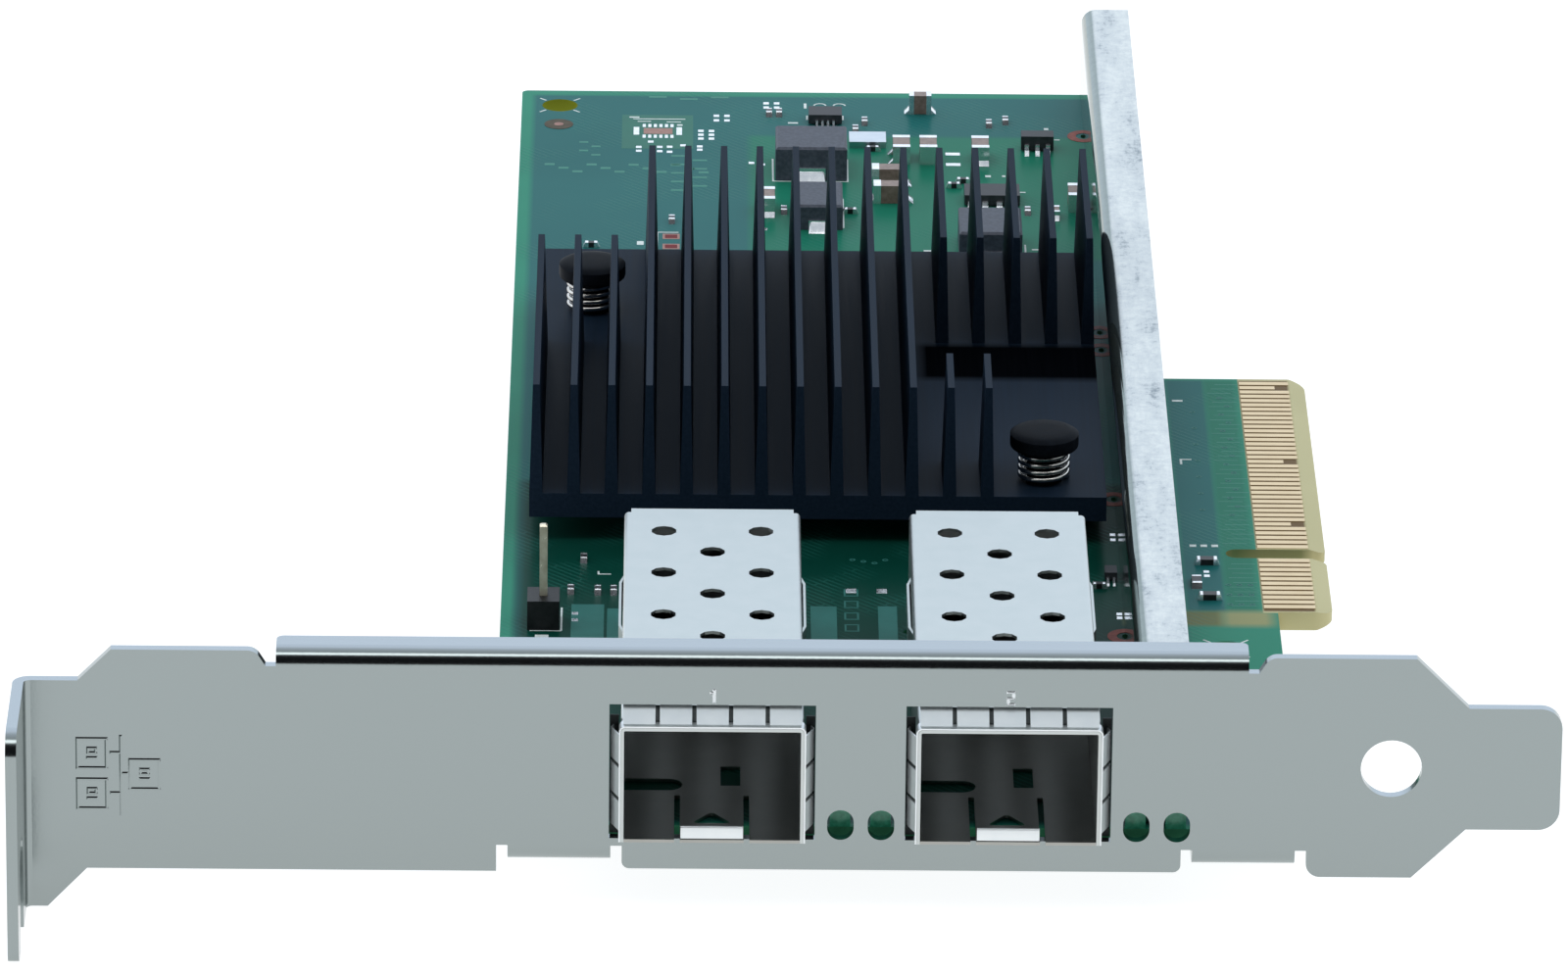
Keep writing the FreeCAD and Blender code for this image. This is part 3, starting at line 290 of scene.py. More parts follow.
def wire(finish, out, into):
    finish.node_tree.links.new(out, into)


def times(finish, a, b):
    """Product of an output and another output or a plain number."""
    product = add_node(finish, "Math", operation="MULTIPLY")
    wire(finish, a, product.inputs[0])
    if isinstance(b, float):
        product.inputs[1].default_value = b
    else:
        wire(finish, b, product.inputs[1])
    return product.outputs[0]


def shader_socket(finish, name):
    return finish.node_tree.nodes["Principled BSDF"].inputs[name]


def grain(finish, kind, turn=0.0, stretch=(1, 1, 1), **values):
    """A texture in object coordinates, stretched and turned about Z. Gives the texture node."""
    place = add_node(finish, "TexCoord")
    mapping = add_node(finish, "Mapping")
    mapping.inputs["Scale"].default_value = stretch
    mapping.inputs["Rotation"].default_value = (0, 0, math.radians(turn))
    texture = add_node(finish, "Tex" + kind, **values)
    wire(finish, place.outputs["Object"], mapping.inputs["Vector"])
    wire(finish, mapping.outputs["Vector"], texture.inputs["Vector"])
    return texture


def ramp(finish, factor, *stops):
    """Colour ramp through (place, colour) stops."""
    node = add_node(finish, "ValToRGB")
    points = node.color_ramp.elements
    while len(points) < len(stops):
        points.new(0.5)
    for point, (place, color) in zip(points, stops):
        point.position = place
        point.color = color
    wire(finish, factor, node.inputs["Fac"])
    return node.outputs["Color"]


def shades(finish, factor, *stops):
    wire(finish, ramp(finish, factor, *stops), shader_socket(finish, "Base Color"))


def polish(finish, factor, low, high):
    """Roughness that follows a texture between two values."""
    node = add_node(finish, "MapRange", To_Min=low, To_Max=high)
    wire(finish, factor, node.inputs["Value"])
    wire(finish, node.outputs["Result"], shader_socket(finish, "Roughness"))


def relief(finish, factor, depth_mm, strength=1.0):
    """Small heights on the surface."""
    bump = add_node(finish, "Bump", Distance=depth_mm * MM, Strength=strength)
    wire(finish, factor, bump.inputs["Height"])
    wire(finish, bump.outputs["Normal"], shader_socket(finish, "Normal"))


def dress(finish, *nodes):
    """Put a finish on nodes of the card."""
    for name in nodes:
        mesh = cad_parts[name].data
        mesh.materials.clear()
        mesh.materials.append(finish)
    print(finish.name, "on", ", ".join(nodes))


# %% [markdown]
# ### Bare metals
# The bracket is steel with satin nickel: grey, evenly soft, with a fine speckle that breaks the
# mirror. The cages and their collars are brighter, thinner sheet. The bar is hot-dip galvanised,
# with cloudy streaks in the zinc on top and a smoother side that is painted darker as painted shade.
# The screws, wire, pin and solder are plain bright metals.

# %% Metal finishes
def metal(name, light, dark, roughness, speckle=900, depth=0.002, spread=0.08):
    """Metal whose tone and polish drift between two shades over a fine speckle."""
    finish = new_finish(name, light, roughness, 1.0)
    cloud = grain(finish, "Noise", Scale=speckle, Detail=4.0)
    shades(finish, cloud.outputs["Fac"], (0.35, dark), (0.65, light))
    polish(finish, cloud.outputs["Fac"], roughness - spread, roughness + spread)
    relief(finish, cloud.outputs["Fac"], depth)
    return finish


nickel = metal("nickel_bracket", tint(151, 159, 158), tint(148, 156, 155), 0.17, 3200, 0.003, 0.015)
cage_sheet = metal("cage_sheet", tint(194, 199, 197), tint(190, 196, 194), 0.34, 500, 0.0005, 0.015)
cage_inner = metal("cage_inner", tint(166, 166, 160), tint(162, 162, 156), 0.3, 500, 0.0005, 0.015)
collar_sheet = metal("collar_sheet", tint(232, 236, 236), tint(226, 231, 232), 0.3, 500, 0.0004, 0.02)
shader_socket(collar_sheet, "Metallic").default_value = 0.75
screw_steel = metal("screw_steel", tint(196, 196, 194), tint(180, 181, 181), 0.3, 1200, 0.002)
spring_wire = metal("spring_wire", tint(214, 210, 204), tint(190, 187, 183), 0.2, 1500, 0.002)
tinned_pin = metal("tinned_pin", tint(228, 222, 200), tint(206, 199, 176), 0.24, 1300, 0.004)
shader_socket(tinned_pin, "Metallic").default_value = 0.5
oscillator_can = metal("oscillator_can", tint(206, 212, 218), tint(196, 203, 210), 0.34, 800, 0.001)
package_lid = metal("package_lid", tint(188, 190, 192), tint(176, 178, 180), 0.4, 900, 0.001)
gold = metal("gold_contacts", tint(220, 196, 156), tint(214, 189, 148), 0.34, 500, 0.0005, 0.02)
solder = metal("solder_tin", tint(244, 245, 246), tint(226, 229, 232), 0.16, 1300, 0.012, 0.08)
shader_socket(solder, "Metallic").default_value = 0.8

dress(nickel, "mounting_bracket")
dress(cage_sheet, "cage_cover_a", "cage_cover_b")
dress(cage_inner, "cage_base_a", "cage_base_b")
dress(collar_sheet, "spring_collar_a", "spring_collar_b")
dress(screw_steel, "bracket_screws")
dress(spring_wire, "pin_spring_near", "pin_spring_far")
dress(tinned_pin, "header_pin")
dress(oscillator_can, "oscillator_can")
dress(package_lid, "controller_lid")
dress(gold, "edge_contacts_top", "edge_contacts_bottom", "host_contacts_a", "host_contacts_b")
dress(solder, "capacitor_ends", "memory_chip_leads", "switch_chip_leads", "regulator_chip_leads",
      "sensor_chip_leads", "inductor_large_tags", "inductor_small_tags", "inductor_side_tags")

# %% Tones that follow the surface's direction
def slope(finish, axis, start, end):
    """0 to 1 as the surface's own direction along an axis goes from start to end."""
    facing = add_node(finish, "TexCoord")
    parts = add_node(finish, "SeparateXYZ")
    step = add_node(finish, "MapRange", From_Min=start, From_Max=end)
    wire(finish, facing.outputs["Normal"], parts.inputs[0])
    wire(finish, parts.outputs[axis], step.inputs["Value"])
    return step.outputs["Result"]


def cover(finish, under, over, factor):
    """Colour over another colour where factor is 1."""
    mix = add_node(finish, "Mix", data_type="RGBA")
    wire(finish, factor, mix.inputs[0])
    wire(finish, under, mix.inputs[6])
    wire(finish, over, mix.inputs[7])
    return mix.outputs[2]


# %% Bracket's top flange, a little paler than its face as a painted sheen
# Painted reflection: faces that turn up get a paler, bluer nickel, standing in for the bright room that the
# flange mirrors.
shine = ramp(nickel, slope(nickel, "Z", 0.8, 0.95), (0.0, tint(150, 158, 157)), (1.0, tint(168, 175, 179)))
wire(nickel, shine, shader_socket(nickel, "Base Color"))
print("the nickel follows the surface's direction")

# %% Galvanised bar
zinc = new_finish("galvanised_bar", tint(222, 230, 236), 0.4, 0.9)
cloud = grain(zinc, "Noise", Scale=1100, Detail=8.0, Roughness=0.8)
streaks = grain(zinc, "Noise", stretch=(1.6, 0.35, 1), Scale=260, Detail=5.0, Roughness=0.7)
blend = times(zinc, streaks.outputs["Fac"], cloud.outputs["Fac"])
frost = ramp(zinc, blend, (0.13, tint(132, 142, 148)), (0.2, tint(200, 204, 204)),
             (0.34, tint(222, 224, 220)))
# Painted shade: the side's darker grey-green tone stands in for the dim mirror image of the board in it.
painted_side_shade = ramp(zinc, cloud.outputs["Fac"], (0.3, tint(112, 124, 120)), (0.7, tint(132, 144, 138)))
on_top = slope(zinc, "Z", 0.93, 0.985)
wire(zinc, cover(zinc, painted_side_shade, frost, on_top), shader_socket(zinc, "Base Color"))
matt = add_node(zinc, "MapRange", To_Min=0.07, To_Max=0.42)
wire(zinc, on_top, matt.inputs["Value"])
wire(zinc, matt.outputs["Result"], shader_socket(zinc, "Roughness"))
relief(zinc, cloud.outputs["Fac"], 0.005, 0.5)
dress(zinc, "stiffener_bar")

# %% [markdown]
# ### Black parts
# The heatsink is extruded along Y and anodised matt black, so its grain runs along the fins. Where
# fins were milled away for the pin near the ports, the floor in front of the fins that stay carries
# a painted shadow: a darker black with no sheen. The pins, the header and the connectors are
# moulded, with a faint pebble. Chip bodies are a greyer epoxy, and the inductors are pressed from
# iron powder.

# %% Zones in the plane of the board
def zone(finish, x0, x1, y0, y1, soft):
    """1 inside a rectangle seen from above (mm), 0 outside, with a soft border."""
    place = add_node(finish, "TexCoord")
    parts = add_node(finish, "SeparateXYZ")
    wire(finish, place.outputs["Object"], parts.inputs[0])
    inside = None
    for axis, low, high in (("X", x0, x1), ("Y", y0, y1)):
        for start, end in ((low - soft, low + soft), (high + soft, high - soft)):
            step = add_node(finish, "MapRange", From_Min=start * MM, From_Max=end * MM)
            wire(finish, parts.outputs[axis], step.inputs["Value"])
            within = step.outputs["Result"]
            inside = within if inside is None else times(finish, inside, within)
    return inside


print("zones are measured from the contact tongue")

# %% Dark finishes
# Painted shadow of the fins on the milled floor in front of them: a darker black with no sheen.
POCKET = (-33.1, -17.4, 27.8, 35.9)      # milled floor at the foot of the fins: x0, x1, y0, y1
SHEEN = 0.035
anodised = new_finish("black_anodised", tint(22, 34, 48), 0.5, 0.0, Specular_IOR_Level=SHEEN)
drawn = grain(anodised, "Noise", stretch=(1, 0.02, 1), Scale=3500, Detail=3.0)
grown = ramp(anodised, drawn.outputs["Fac"], (0.3, tint(22, 35, 49)), (0.7, tint(29, 42, 57)))
# Near-black tone of the painted shadow.
painted_fin_shadow = ramp(anodised, drawn.outputs["Fac"], (0.3, tint(4, 6, 9)), (0.7, tint(7, 9, 13)))
foot = zone(anodised, *POCKET, 0.7)
shadowed_sheen = add_node(anodised, "MapRange", To_Min=SHEEN, To_Max=0.0)
wire(anodised, foot, shadowed_sheen.inputs["Value"])
wire(anodised, shadowed_sheen.outputs["Result"], shader_socket(anodised, "Specular IOR Level"))
wire(anodised, cover(anodised, grown, painted_fin_shadow, foot), shader_socket(anodised, "Base Color"))
polish(anodised, drawn.outputs["Fac"], 0.42, 0.54)
relief(anodised, drawn.outputs["Fac"], 0.003)
dress(anodised, "heatsink")


def moulded(name, light, dark, roughness, speckle=2500, depth=0.004):
    """Plastic, epoxy or powder: two close shades and a fine pebble."""
    finish = new_finish(name, light, roughness)
    pebble = grain(finish, "Noise", Scale=speckle, Detail=5.0)
    shades(finish, pebble.outputs["Fac"], (0.35, dark), (0.65, light))
    polish(finish, pebble.outputs["Fac"], roughness - 0.06, roughness + 0.1)
    relief(finish, pebble.outputs["Fac"], depth)
    return finish


black_moulding = moulded("black_moulding", tint(26, 27, 30), tint(16, 17, 19), 0.42)
pin_nylon = moulded("pin_nylon", tint(20, 24, 30), tint(15, 18, 23), 0.46, 1200)
shader_socket(pin_nylon, "Specular IOR Level").default_value = 0.025
epoxy = moulded("chip_epoxy", tint(50, 53, 58), tint(36, 38, 43), 0.5)
inductor_grey = moulded("inductor_grey", tint(80, 86, 99), tint(61, 66, 78), 0.55, 3000, 0.012)
ceramic = moulded("ceramic_body", tint(150, 128, 118), tint(126, 106, 96), 0.4)
resistor_black = moulded("chip_resistor", tint(40, 40, 42), tint(26, 26, 28), 0.4)
laminate = moulded("package_laminate", tint(28, 84, 62), tint(20, 66, 50), 0.4)
compound = moulded("thermal_compound", tint(190, 190, 194), tint(170, 170, 176), 0.8)
lamp_resin = moulded("lamp_resin", tint(66, 172, 134), tint(48, 146, 112), 0.18)

dress(black_moulding, "host_connector_a", "host_connector_b", "header_block")
dress(pin_nylon, "push_pin_near", "push_pin_far")
dress(epoxy, "memory_chip", "switch_chip", "regulator_chip", "sensor_chip")
dress(inductor_grey, "inductor_large", "inductor_small", "inductor_side")
dress(ceramic, "capacitor_bodies", "underside_capacitors")
dress(resistor_black, "chip_resistors")
dress(laminate, "controller_base")
dress(compound, "thermal_pad")
dress(lamp_resin, "port_lamps")

# %% [markdown]
# ### The board
# Solder mask is a tinted varnish over copper and laminate. Where a copper plane lies under it the
# mask looks blue-grey, and where there is none the laminate shines through a brighter green, as in
# the strip along the board's edge. Fine tracks show as slightly paler lines. The cut edges and the
# bevel of the contact tongue have no mask and show the straw-coloured laminate; the cut edges are
# painted paler than that, as a painted glow of the light that passes through the laminate. In front
# of the heatsink the mask carries painted shade.

# %% Solder mask
board_low, board_high = (Vector(c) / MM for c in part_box("circuit_board"))
mask = new_finish("circuit_board", tint(30, 100, 90), 0.32, Specular_IOR_Level=0.04)
cloud = grain(mask, "Noise", Scale=60, Detail=2.0)


def drift(dark, light):
    """A tone of the board that drifts between two shades."""
    return ramp(mask, cloud.outputs["Fac"], (0.3, tint(*dark)), (0.7, tint(*light)))


plane = drift((31, 102, 101), (36, 108, 106))
bare = drift((40, 134, 108), (48, 144, 116))
fill = drift((28, 116, 92), (34, 124, 98))
# Painted shade: a darker green for the board that lies in the shadow of the heatsink and the cages.
painted_shade_tone = drift((6, 60, 49), (10, 66, 55))
straw = drift((150, 152, 104), (160, 160, 112))
glass = drift((194, 186, 140), (204, 196, 150))
between = drift((112, 88, 56), (122, 98, 64))
edge = drift((58, 132, 96), (70, 146, 108))
olive = drift((104, 112, 70), (116, 122, 78))
yellow = drift((120, 128, 34), (134, 142, 44))

# %% Where the board shows which tone
inner = zone(mask, board_low.x + 1.1, -12.0, board_low.y + 0.8, board_high.y - 1.2, 0.3)
skin = cover(mask, bare, plane, inner)
skin = cover(mask, skin, fill, zone(mask, -47.2, -17.0, 68.0, 99.0, 0.4))
# Painted shadow of the heatsink and the cages on the board in front of the heatsink.
skin = cover(mask, skin, painted_shade_tone, zone(mask, board_low.x + 1.3, -14.0, board_low.y + 0.8, 15.0, 0.6))
skin = cover(mask, skin, plane, zone(mask, -11.9, -8.6, -12.5, 39.2, 0.3))
skin = cover(mask, skin, fill, zone(mask, -8.6, -6.0, -12.5, 39.2, 0.3))
skin = cover(mask, skin, olive, zone(mask, -17.0, -9.0, -15.6, -12.5, 0.4))
skin = cover(mask, skin, straw, zone(mask, -9.0, -5.0, -15.6, -12.5, 0.6))

tracks = grain(mask, "Brick", turn=45, Scale=1000, Brick_Width=7.0, Row_Height=0.55, Mortar_Size=0.11,
               Mortar_Smooth=0.2)
where = grain(mask, "Noise", Scale=110, Detail=1.0)
patch = add_node(mask, "MapRange", From_Min=0.5, From_Max=0.58)
wire(mask, where.outputs["Fac"], patch.inputs["Value"])
lines = times(mask, tracks.outputs["Fac"], patch.outputs["Result"])
faint = times(mask, lines, 0.3)
pale = drift((46, 116, 104), (54, 124, 112))
skin = cover(mask, skin, pale, faint)

tongue = zone(mask, -5.7, 1.0, -12.75, 39.8, 0.05)
skin = cover(mask, skin, glass, tongue)
skin = cover(mask, skin, between, zone(mask, -5.65, -1.45, -12.4, -1.2, 0.1))
skin = cover(mask, skin, between, zone(mask, -5.65, -1.45, 1.2, 39.2, 0.1))
up = slope(mask, "Z", 0.93, 0.9)
down = slope(mask, "Z", -0.93, -0.9)
wall = times(mask, up, down)
# Painted light: the cut edges and the far hole's wall have the laminate's own green and straw, made paler to
# stand in for the light that shines through the thin laminate.
rim = cover(mask, edge, glass, zone(mask, -6.4, 1.0, -14.0, 41.0, 1.2))
rim = cover(mask, rim, olive, zone(mask, -9.0, -1.5, -1.2, 1.2, 0.5))
rim = cover(mask, rim, yellow, zone(mask, board_low.x + 1.5, board_low.x + 5.4, board_high.y - 6.0,
                                    board_high.y - 2.0, 0.05))
skin = cover(mask, skin, rim, wall)
wire(mask, skin, shader_socket(mask, "Base Color"))
relief(mask, lines, 0.006)
dress(mask, "circuit_board")

# %% [markdown]
# ## Push pins and their springs
# Two plastic pins hold the heatsink down. Each has a domed head, a plain shank and a coil spring of
# four open turns between the head and the heatsink's base. The head is turned: a disc is inset and
# raised ring by ring, and then smoothed. The coil is a small circle of wire swept by the Screw
# modifier, which climbs a set height in each turn.

# %% Push pins
HEAD_H = 1.9
RIM_SHARE = 0.93        # radius of the disc that the head starts from, as a share of the head's
RIM_H = 1.2
DOME = ((0.3, 0.2), (0.5, 0.1), (0.75, 0.05))       # inset and lift of each ring
SHANK_R = 1.4
SHANK_LOW = -1.8
BARB_TIP_R = 0.85
BARB_R = 1.9
BARB_H = 1.8
BARB_Z = -3.17


def push_pin(name, node):
    low, high = (Vector(c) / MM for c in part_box(node))
    x, y = (low.x + high.x) / 2, (low.y + high.y) / 2
    head_r = (high.x - low.x) / 2
    head_z = high.z - HEAD_H
    clear()
    bpy.ops.mesh.primitive_cylinder_add(vertices=48, radius=SHANK_R * MM, depth=(head_z - SHANK_LOW) * MM,
                                        location=(x * MM, y * MM, (head_z + SHANK_LOW) / 2 * MM))
    shank = bake_place(bpy.context.object)
    clear()
    bpy.ops.mesh.primitive_cylinder_add(vertices=64, radius=head_r * RIM_SHARE * MM, depth=RIM_H * MM,
                                        location=(x * MM, y * MM, (head_z + RIM_H / 2) * MM))
    head = bake_place(bpy.context.object)
    choose(head, lambda c, n: n.z > 0.9)
    for inset, lift in DOME:
        bpy.ops.mesh.inset(thickness=inset * MM)
        bpy.ops.transform.translate(value=(0, 0, lift * MM))
    bpy.ops.object.mode_set(mode="OBJECT")
    choose(head, lambda c, d: abs(d.z) < 0.1 and c.z < head_z + 0.01, "EDGE")
    bpy.ops.mesh.bevel(offset=0.3 * MM, segments=3)
    bpy.ops.object.mode_set(mode="OBJECT")
    clear()
    bpy.ops.mesh.primitive_cone_add(vertices=48, radius1=BARB_TIP_R * MM, radius2=BARB_R * MM,
                                    depth=BARB_H * MM, location=(x * MM, y * MM, BARB_Z * MM))
    barb = bake_place(bpy.context.object)
    pin = join(name, [head, shank, barb])
    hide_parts(node)
    return finished(pin, pin_nylon, 50)


# %% Coil springs
WIRE_R = 0.21
COIL_R = 1.98
TURNS = 4


def coil_spring(name, node):
    low, high = (Vector(c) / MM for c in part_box(node))
    x, y = (low.x + high.x) / 2, (low.y + high.y) / 2
    rise = (high.z - low.z - 2 * WIRE_R) / TURNS
    clear()
    bpy.ops.mesh.primitive_circle_add(vertices=12, radius=WIRE_R * MM,
                                      location=(COIL_R * MM, 0, (low.z + WIRE_R) * MM),
                                      rotation=(math.pi / 2, 0, 0))
    wire_end = bake_place(bpy.context.object)
    apply_modifier(wire_end, "SCREW", angle=2 * math.pi * TURNS, screw_offset=rise * TURNS * MM,
                   steps=40 * TURNS, render_steps=40 * TURNS, use_normal_calculate=True)
    choose(wire_end, lambda c, d: True, "EDGE")
    bpy.ops.mesh.select_all(action="DESELECT")
    bpy.ops.mesh.select_non_manifold()
    bpy.ops.mesh.edge_face_add()
    bpy.ops.mesh.select_all(action="SELECT")
    bpy.ops.mesh.normals_make_consistent(inside=False)
    bpy.ops.object.mode_set(mode="OBJECT")
    spring = copy_to(wire_end, x, y)
    bpy.data.objects.remove(wire_end)
    spring.name = name
    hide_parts(node)
    return finished(spring, spring_wire, 60)


for side in ("near", "far"):
    push_pin("domed_pin_" + side, "push_pin_" + side)
    coil_spring("coil_" + side, "pin_spring_" + side)

# %% [markdown]
# ## Chips and solder
# A chip resistor or capacitor is a small block whose two ends are tinned and sit in solder on two
# pads. The blocks are already on the board. Their places are read back from the board's own node,
# one loose part after another, and each end gets a cap that wraps it and slopes to its pad.

# %% Read loose parts back
def loose_boxes(node):
    """Lowest and highest corner (mm) of each loose part of a node, from a merged copy."""
    twin = bpy.data.objects.new(node + "_copy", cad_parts[node].data.copy())
    bpy.context.collection.objects.link(twin)
    clear()
    twin.select_set(True)
    bpy.context.view_layer.objects.active = twin
    bpy.ops.object.mode_set(mode="EDIT")
    bpy.ops.mesh.select_all(action="SELECT")
    bpy.ops.mesh.remove_doubles(threshold=0.001 * MM)
    bpy.ops.mesh.separate(type="LOOSE")
    bpy.ops.object.mode_set(mode="OBJECT")
    boxes = []
    for part in list(bpy.context.selected_objects):
        corners = [v.co / MM for v in part.data.vertices]
        boxes.append((Vector([min(c[i] for c in corners) for i in range(3)]),
                      Vector([max(c[i] for c in corners) for i in range(3)])))
        bpy.data.objects.remove(part)
    return sorted(boxes, key=lambda b: (b[0].x, b[0].y))


chip_boxes = loose_boxes("chip_resistors")
print(len(chip_boxes), "small chips on the board")

# %% Tinned ends
CAP = 0.26
PROUD = 0.02
FOOT = 0.22


def tinned_end(low, high, along, out):
    """Cap round one end of a chip, with its foot of solder sloping outwards."""
    a, b = low.copy(), high.copy()
    for axis in range(3):
        a[axis] -= PROUD
        b[axis] += PROUD
    a.z = 0.0
    if out > 0:
        a[along] = high[along] - CAP
    else:
        b[along] = low[along] + CAP
    cap = start_box("end", a, b)
    choose(cap, lambda c, d: c.z < 0.01 and (c[along] > b[along] - 0.01 if out > 0
                                             else c[along] < a[along] + 0.01), "EDGE")
    shift = [0, 0, 0]
    shift[along] = out * FOOT * MM
    bpy.ops.transform.translate(value=shift)
    bpy.ops.object.mode_set(mode="OBJECT")
    choose(cap, lambda c, d: c.z > b.z - 0.01, "EDGE")
    bpy.ops.mesh.bevel(offset=0.05 * MM, segments=2)
    bpy.ops.object.mode_set(mode="OBJECT")
    return cap


def tin_chips(name, boxes):
    ends = []
    for low, high in boxes:
        along = 0 if high.x - low.x > high.y - low.y else 1
        ends += [tinned_end(low, high, along, -1), tinned_end(low, high, along, 1)]
    return finished(join(name, ends), solder, 30)


tin_chips("chip_ends", chip_boxes)

# %% Solder feet
def solder_foot(low, high, along, out, reach, soft):
    """Wedge of solder against an outer face, as high as it reaches out."""
    a, b = low.copy(), high.copy()
    a.z, b.z = 0.0, min(1.05 * reach, high.z)
    if out > 0:
        a[along], b[along] = high[along], high[along] + reach
    else:
        a[along], b[along] = low[along] - reach, low[along]
    edge = b[along] if out > 0 else a[along]
    foot = start_box("foot", a, b)
    choose(foot, lambda c, d: c.z > b.z - 0.01 and abs(c[along] - edge) < 0.01, "EDGE")
    bpy.ops.transform.translate(value=(0, 0, (0.04 - b.z) * MM))
    bpy.ops.object.mode_set(mode="OBJECT")
    if soft:
        choose(foot, lambda c, d: c.z > 0.05, "EDGE")
        bpy.ops.mesh.bevel(offset=soft * MM, segments=3)
        bpy.ops.object.mode_set(mode="OBJECT")
    return foot


def centre(box):
    return (box[0] + box[1]) / 2


feet = []
ends = loose_boxes("capacitor_ends")
for box in ends:
    mate = min((e for e in ends if e is not box), key=lambda e: (centre(e) - centre(box)).length)
    away = centre(box) - centre(mate)
    along = 0 if abs(away.x) > abs(away.y) else 1
    feet.append(solder_foot(*box, along, away[along], 0.42, 0.05))
for name, reach, soft in (("inductor_large_tags", 0.95, 0.25), ("inductor_small_tags", 0.85, 0.25),
                          ("inductor_side_tags", 0.85, 0.25), ("memory_chip_leads", 0.25, 0),
                          ("switch_chip_leads", 0.4, 0), ("regulator_chip_leads", 0.4, 0),
                          ("sensor_chip_leads", 0.2, 0)):
    low, high = (Vector(c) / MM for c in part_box(name))
    for box in loose_boxes(name):
        feet.append(solder_foot(*box, 1, centre(box).y - (low.y + high.y) / 2, reach, soft))
finished(join("solder_feet", feet), solder, 40)

# %% [markdown]
# The pads of parts that were never fitted are bare tinned rectangles, flat on the mask. They are
# thin plates here, so that they catch the light a little differently from the mask around them.
# Solder and paint thin out at their edges, so each plate's top is inset and raised a little.

# %% Flat plates on the board
RIM = 0.03
FLAT_SHARE = 0.6


def slope_rims(piece, lift):
    """Inset every top face by a fine rim and raise it."""
    choose(piece, lambda c, n: n.z > 0.9)
    bpy.ops.mesh.inset(thickness=RIM * MM, use_individual=True)
    bpy.ops.transform.translate(value=(0, 0, lift * MM))
    bpy.ops.object.mode_set(mode="OBJECT")
    return piece


def plates(name, spots, thickness, finish):
    """Thin plates from (x0, x1, y0, y1) in millimetres, joined into one piece."""
    flat = FLAT_SHARE * thickness
    parts = [start_box("plate", (x0, y0, 0), (x1, y1, flat)) for x0, x1, y0, y1 in spots]
    return finished(slope_rims(join(name, parts), thickness - flat), finish)


def around(x, y, width, depth):
    return (x - width / 2, x + width / 2, y - depth / 2, y + depth / 2)


def row(count, x, y, step_x, step_y, width, depth):
    """Plates repeated from a first middle by a step."""
    return [around(x + n * step_x, y + n * step_y, width, depth) for n in range(count)]


FOOTPRINT = (-55.35, 100.0)     # middle of the twelve pads of the part that isn't fitted
fx, fy = FOOTPRINT
bare_pads = row(6, fx - 1.25, fy + 1.4, 0.5, 0, 0.28, 0.8) + row(6, fx - 1.25, fy - 1.4, 0.5, 0, 0.28, 0.8)
bare_pads += [around(fx - 1.95, fy, 0.5, 2.0), around(fx + 1.9, fy, 0.5, 2.0)]
for x, y in ((-56.0, 97.2), (-53.1, 96.3), (-46.98, 91.9), (-46.02, 91.5), (-45.9, 75.1),
             (-57.07, 95.8), (-57.07, 94.8), (-55.19, 95.85), (-55.19, 94.75), (-54.3, 95.9),
             (-54.3, 94.6), (-51.6, 96.05), (-51.6, 95.2), (-61.64, -14.0), (-61.64, -15.4),
             (-17.45, 3.9), (-17.45, 2.8), (-17.43, -13.3), (-17.43, -14.1)):
    bare_pads.append(around(x, y, 0.5, 0.55))
for x, y, gap, count in ((-51.5, 98.1, 1.0, 3), (-50.1, 102.9, 1.2, 2), (-45.6, 106.4, 1.1, 2)):
    bare_pads += row(count, x, y, 0, gap, 0.5, 0.6) + row(count, x + 0.95, y, 0, gap, 0.5, 0.6)
bare_pads += [around(-28.95, 94.6, 1.3, 0.7), around(-28.95, 91.9, 1.3, 0.7)]
bare_pads += row(2, -10.0, -4.9, 0, 0.9, 0.5, 0.5) + row(2, -39.19, -8.75, 2.51, 0, 0.88, 0.9)
plates("bare_pads", bare_pads, 0.03, solder)

# %% [markdown]
# ## Printed lines
# White ink outlines parts and marks corners and the first leg of a chip. Here the outlines and
# ticks are kept and all lettering is left out. The ink lies on the mask as a film, so each line is
# a thin plate too.

# %% Ink and copper finishes
ink = moulded("board_ink", tint(232, 238, 236), tint(214, 224, 220), 0.6, 2600, 0.002)
red_copper = moulded("masked_copper", tint(158, 88, 76), tint(134, 68, 58), 0.35, 1800, 0.002)
dark_copper = moulded("dark_copper", tint(124, 20, 24), tint(104, 14, 18), 0.35, 1800, 0.002)
pale_copper = moulded("pale_copper", tint(176, 138, 128), tint(160, 120, 110), 0.35, 1800, 0.002)
plane_mask = moulded("plane_mask", tint(58, 120, 112), tint(50, 110, 102), 0.32, 300, 0.001)
shade_mask = moulded("shade_mask", tint(56, 120, 104), tint(50, 113, 98), 0.35, 300, 0.001)
pale_mask = moulded("pale_mask", tint(74, 142, 126), tint(66, 134, 118), 0.32, 300, 0.001)
fibre = moulded("bare_fibre", tint(92, 82, 66), tint(76, 68, 54), 0.4, 1800, 0.002)
for dull in (red_copper, dark_copper, pale_copper, plane_mask, shade_mask, pale_mask, fibre):
    shader_socket(dull, "Specular IOR Level").default_value = 0.06

# %% Outlines
LINE = 0.16


def bracket_line(x0, x1, y0, y1, sides="lbrt"):
    """Lines along the chosen sides of a rectangle: left, bottom, right, top."""
    lines = {"l": (x0, x0 + LINE, y0, y1), "r": (x1 - LINE, x1, y0, y1),
             "b": (x0, x1, y0, y0 + LINE), "t": (x0, x1, y1 - LINE, y1)}
    return [lines[side] for side in sides]


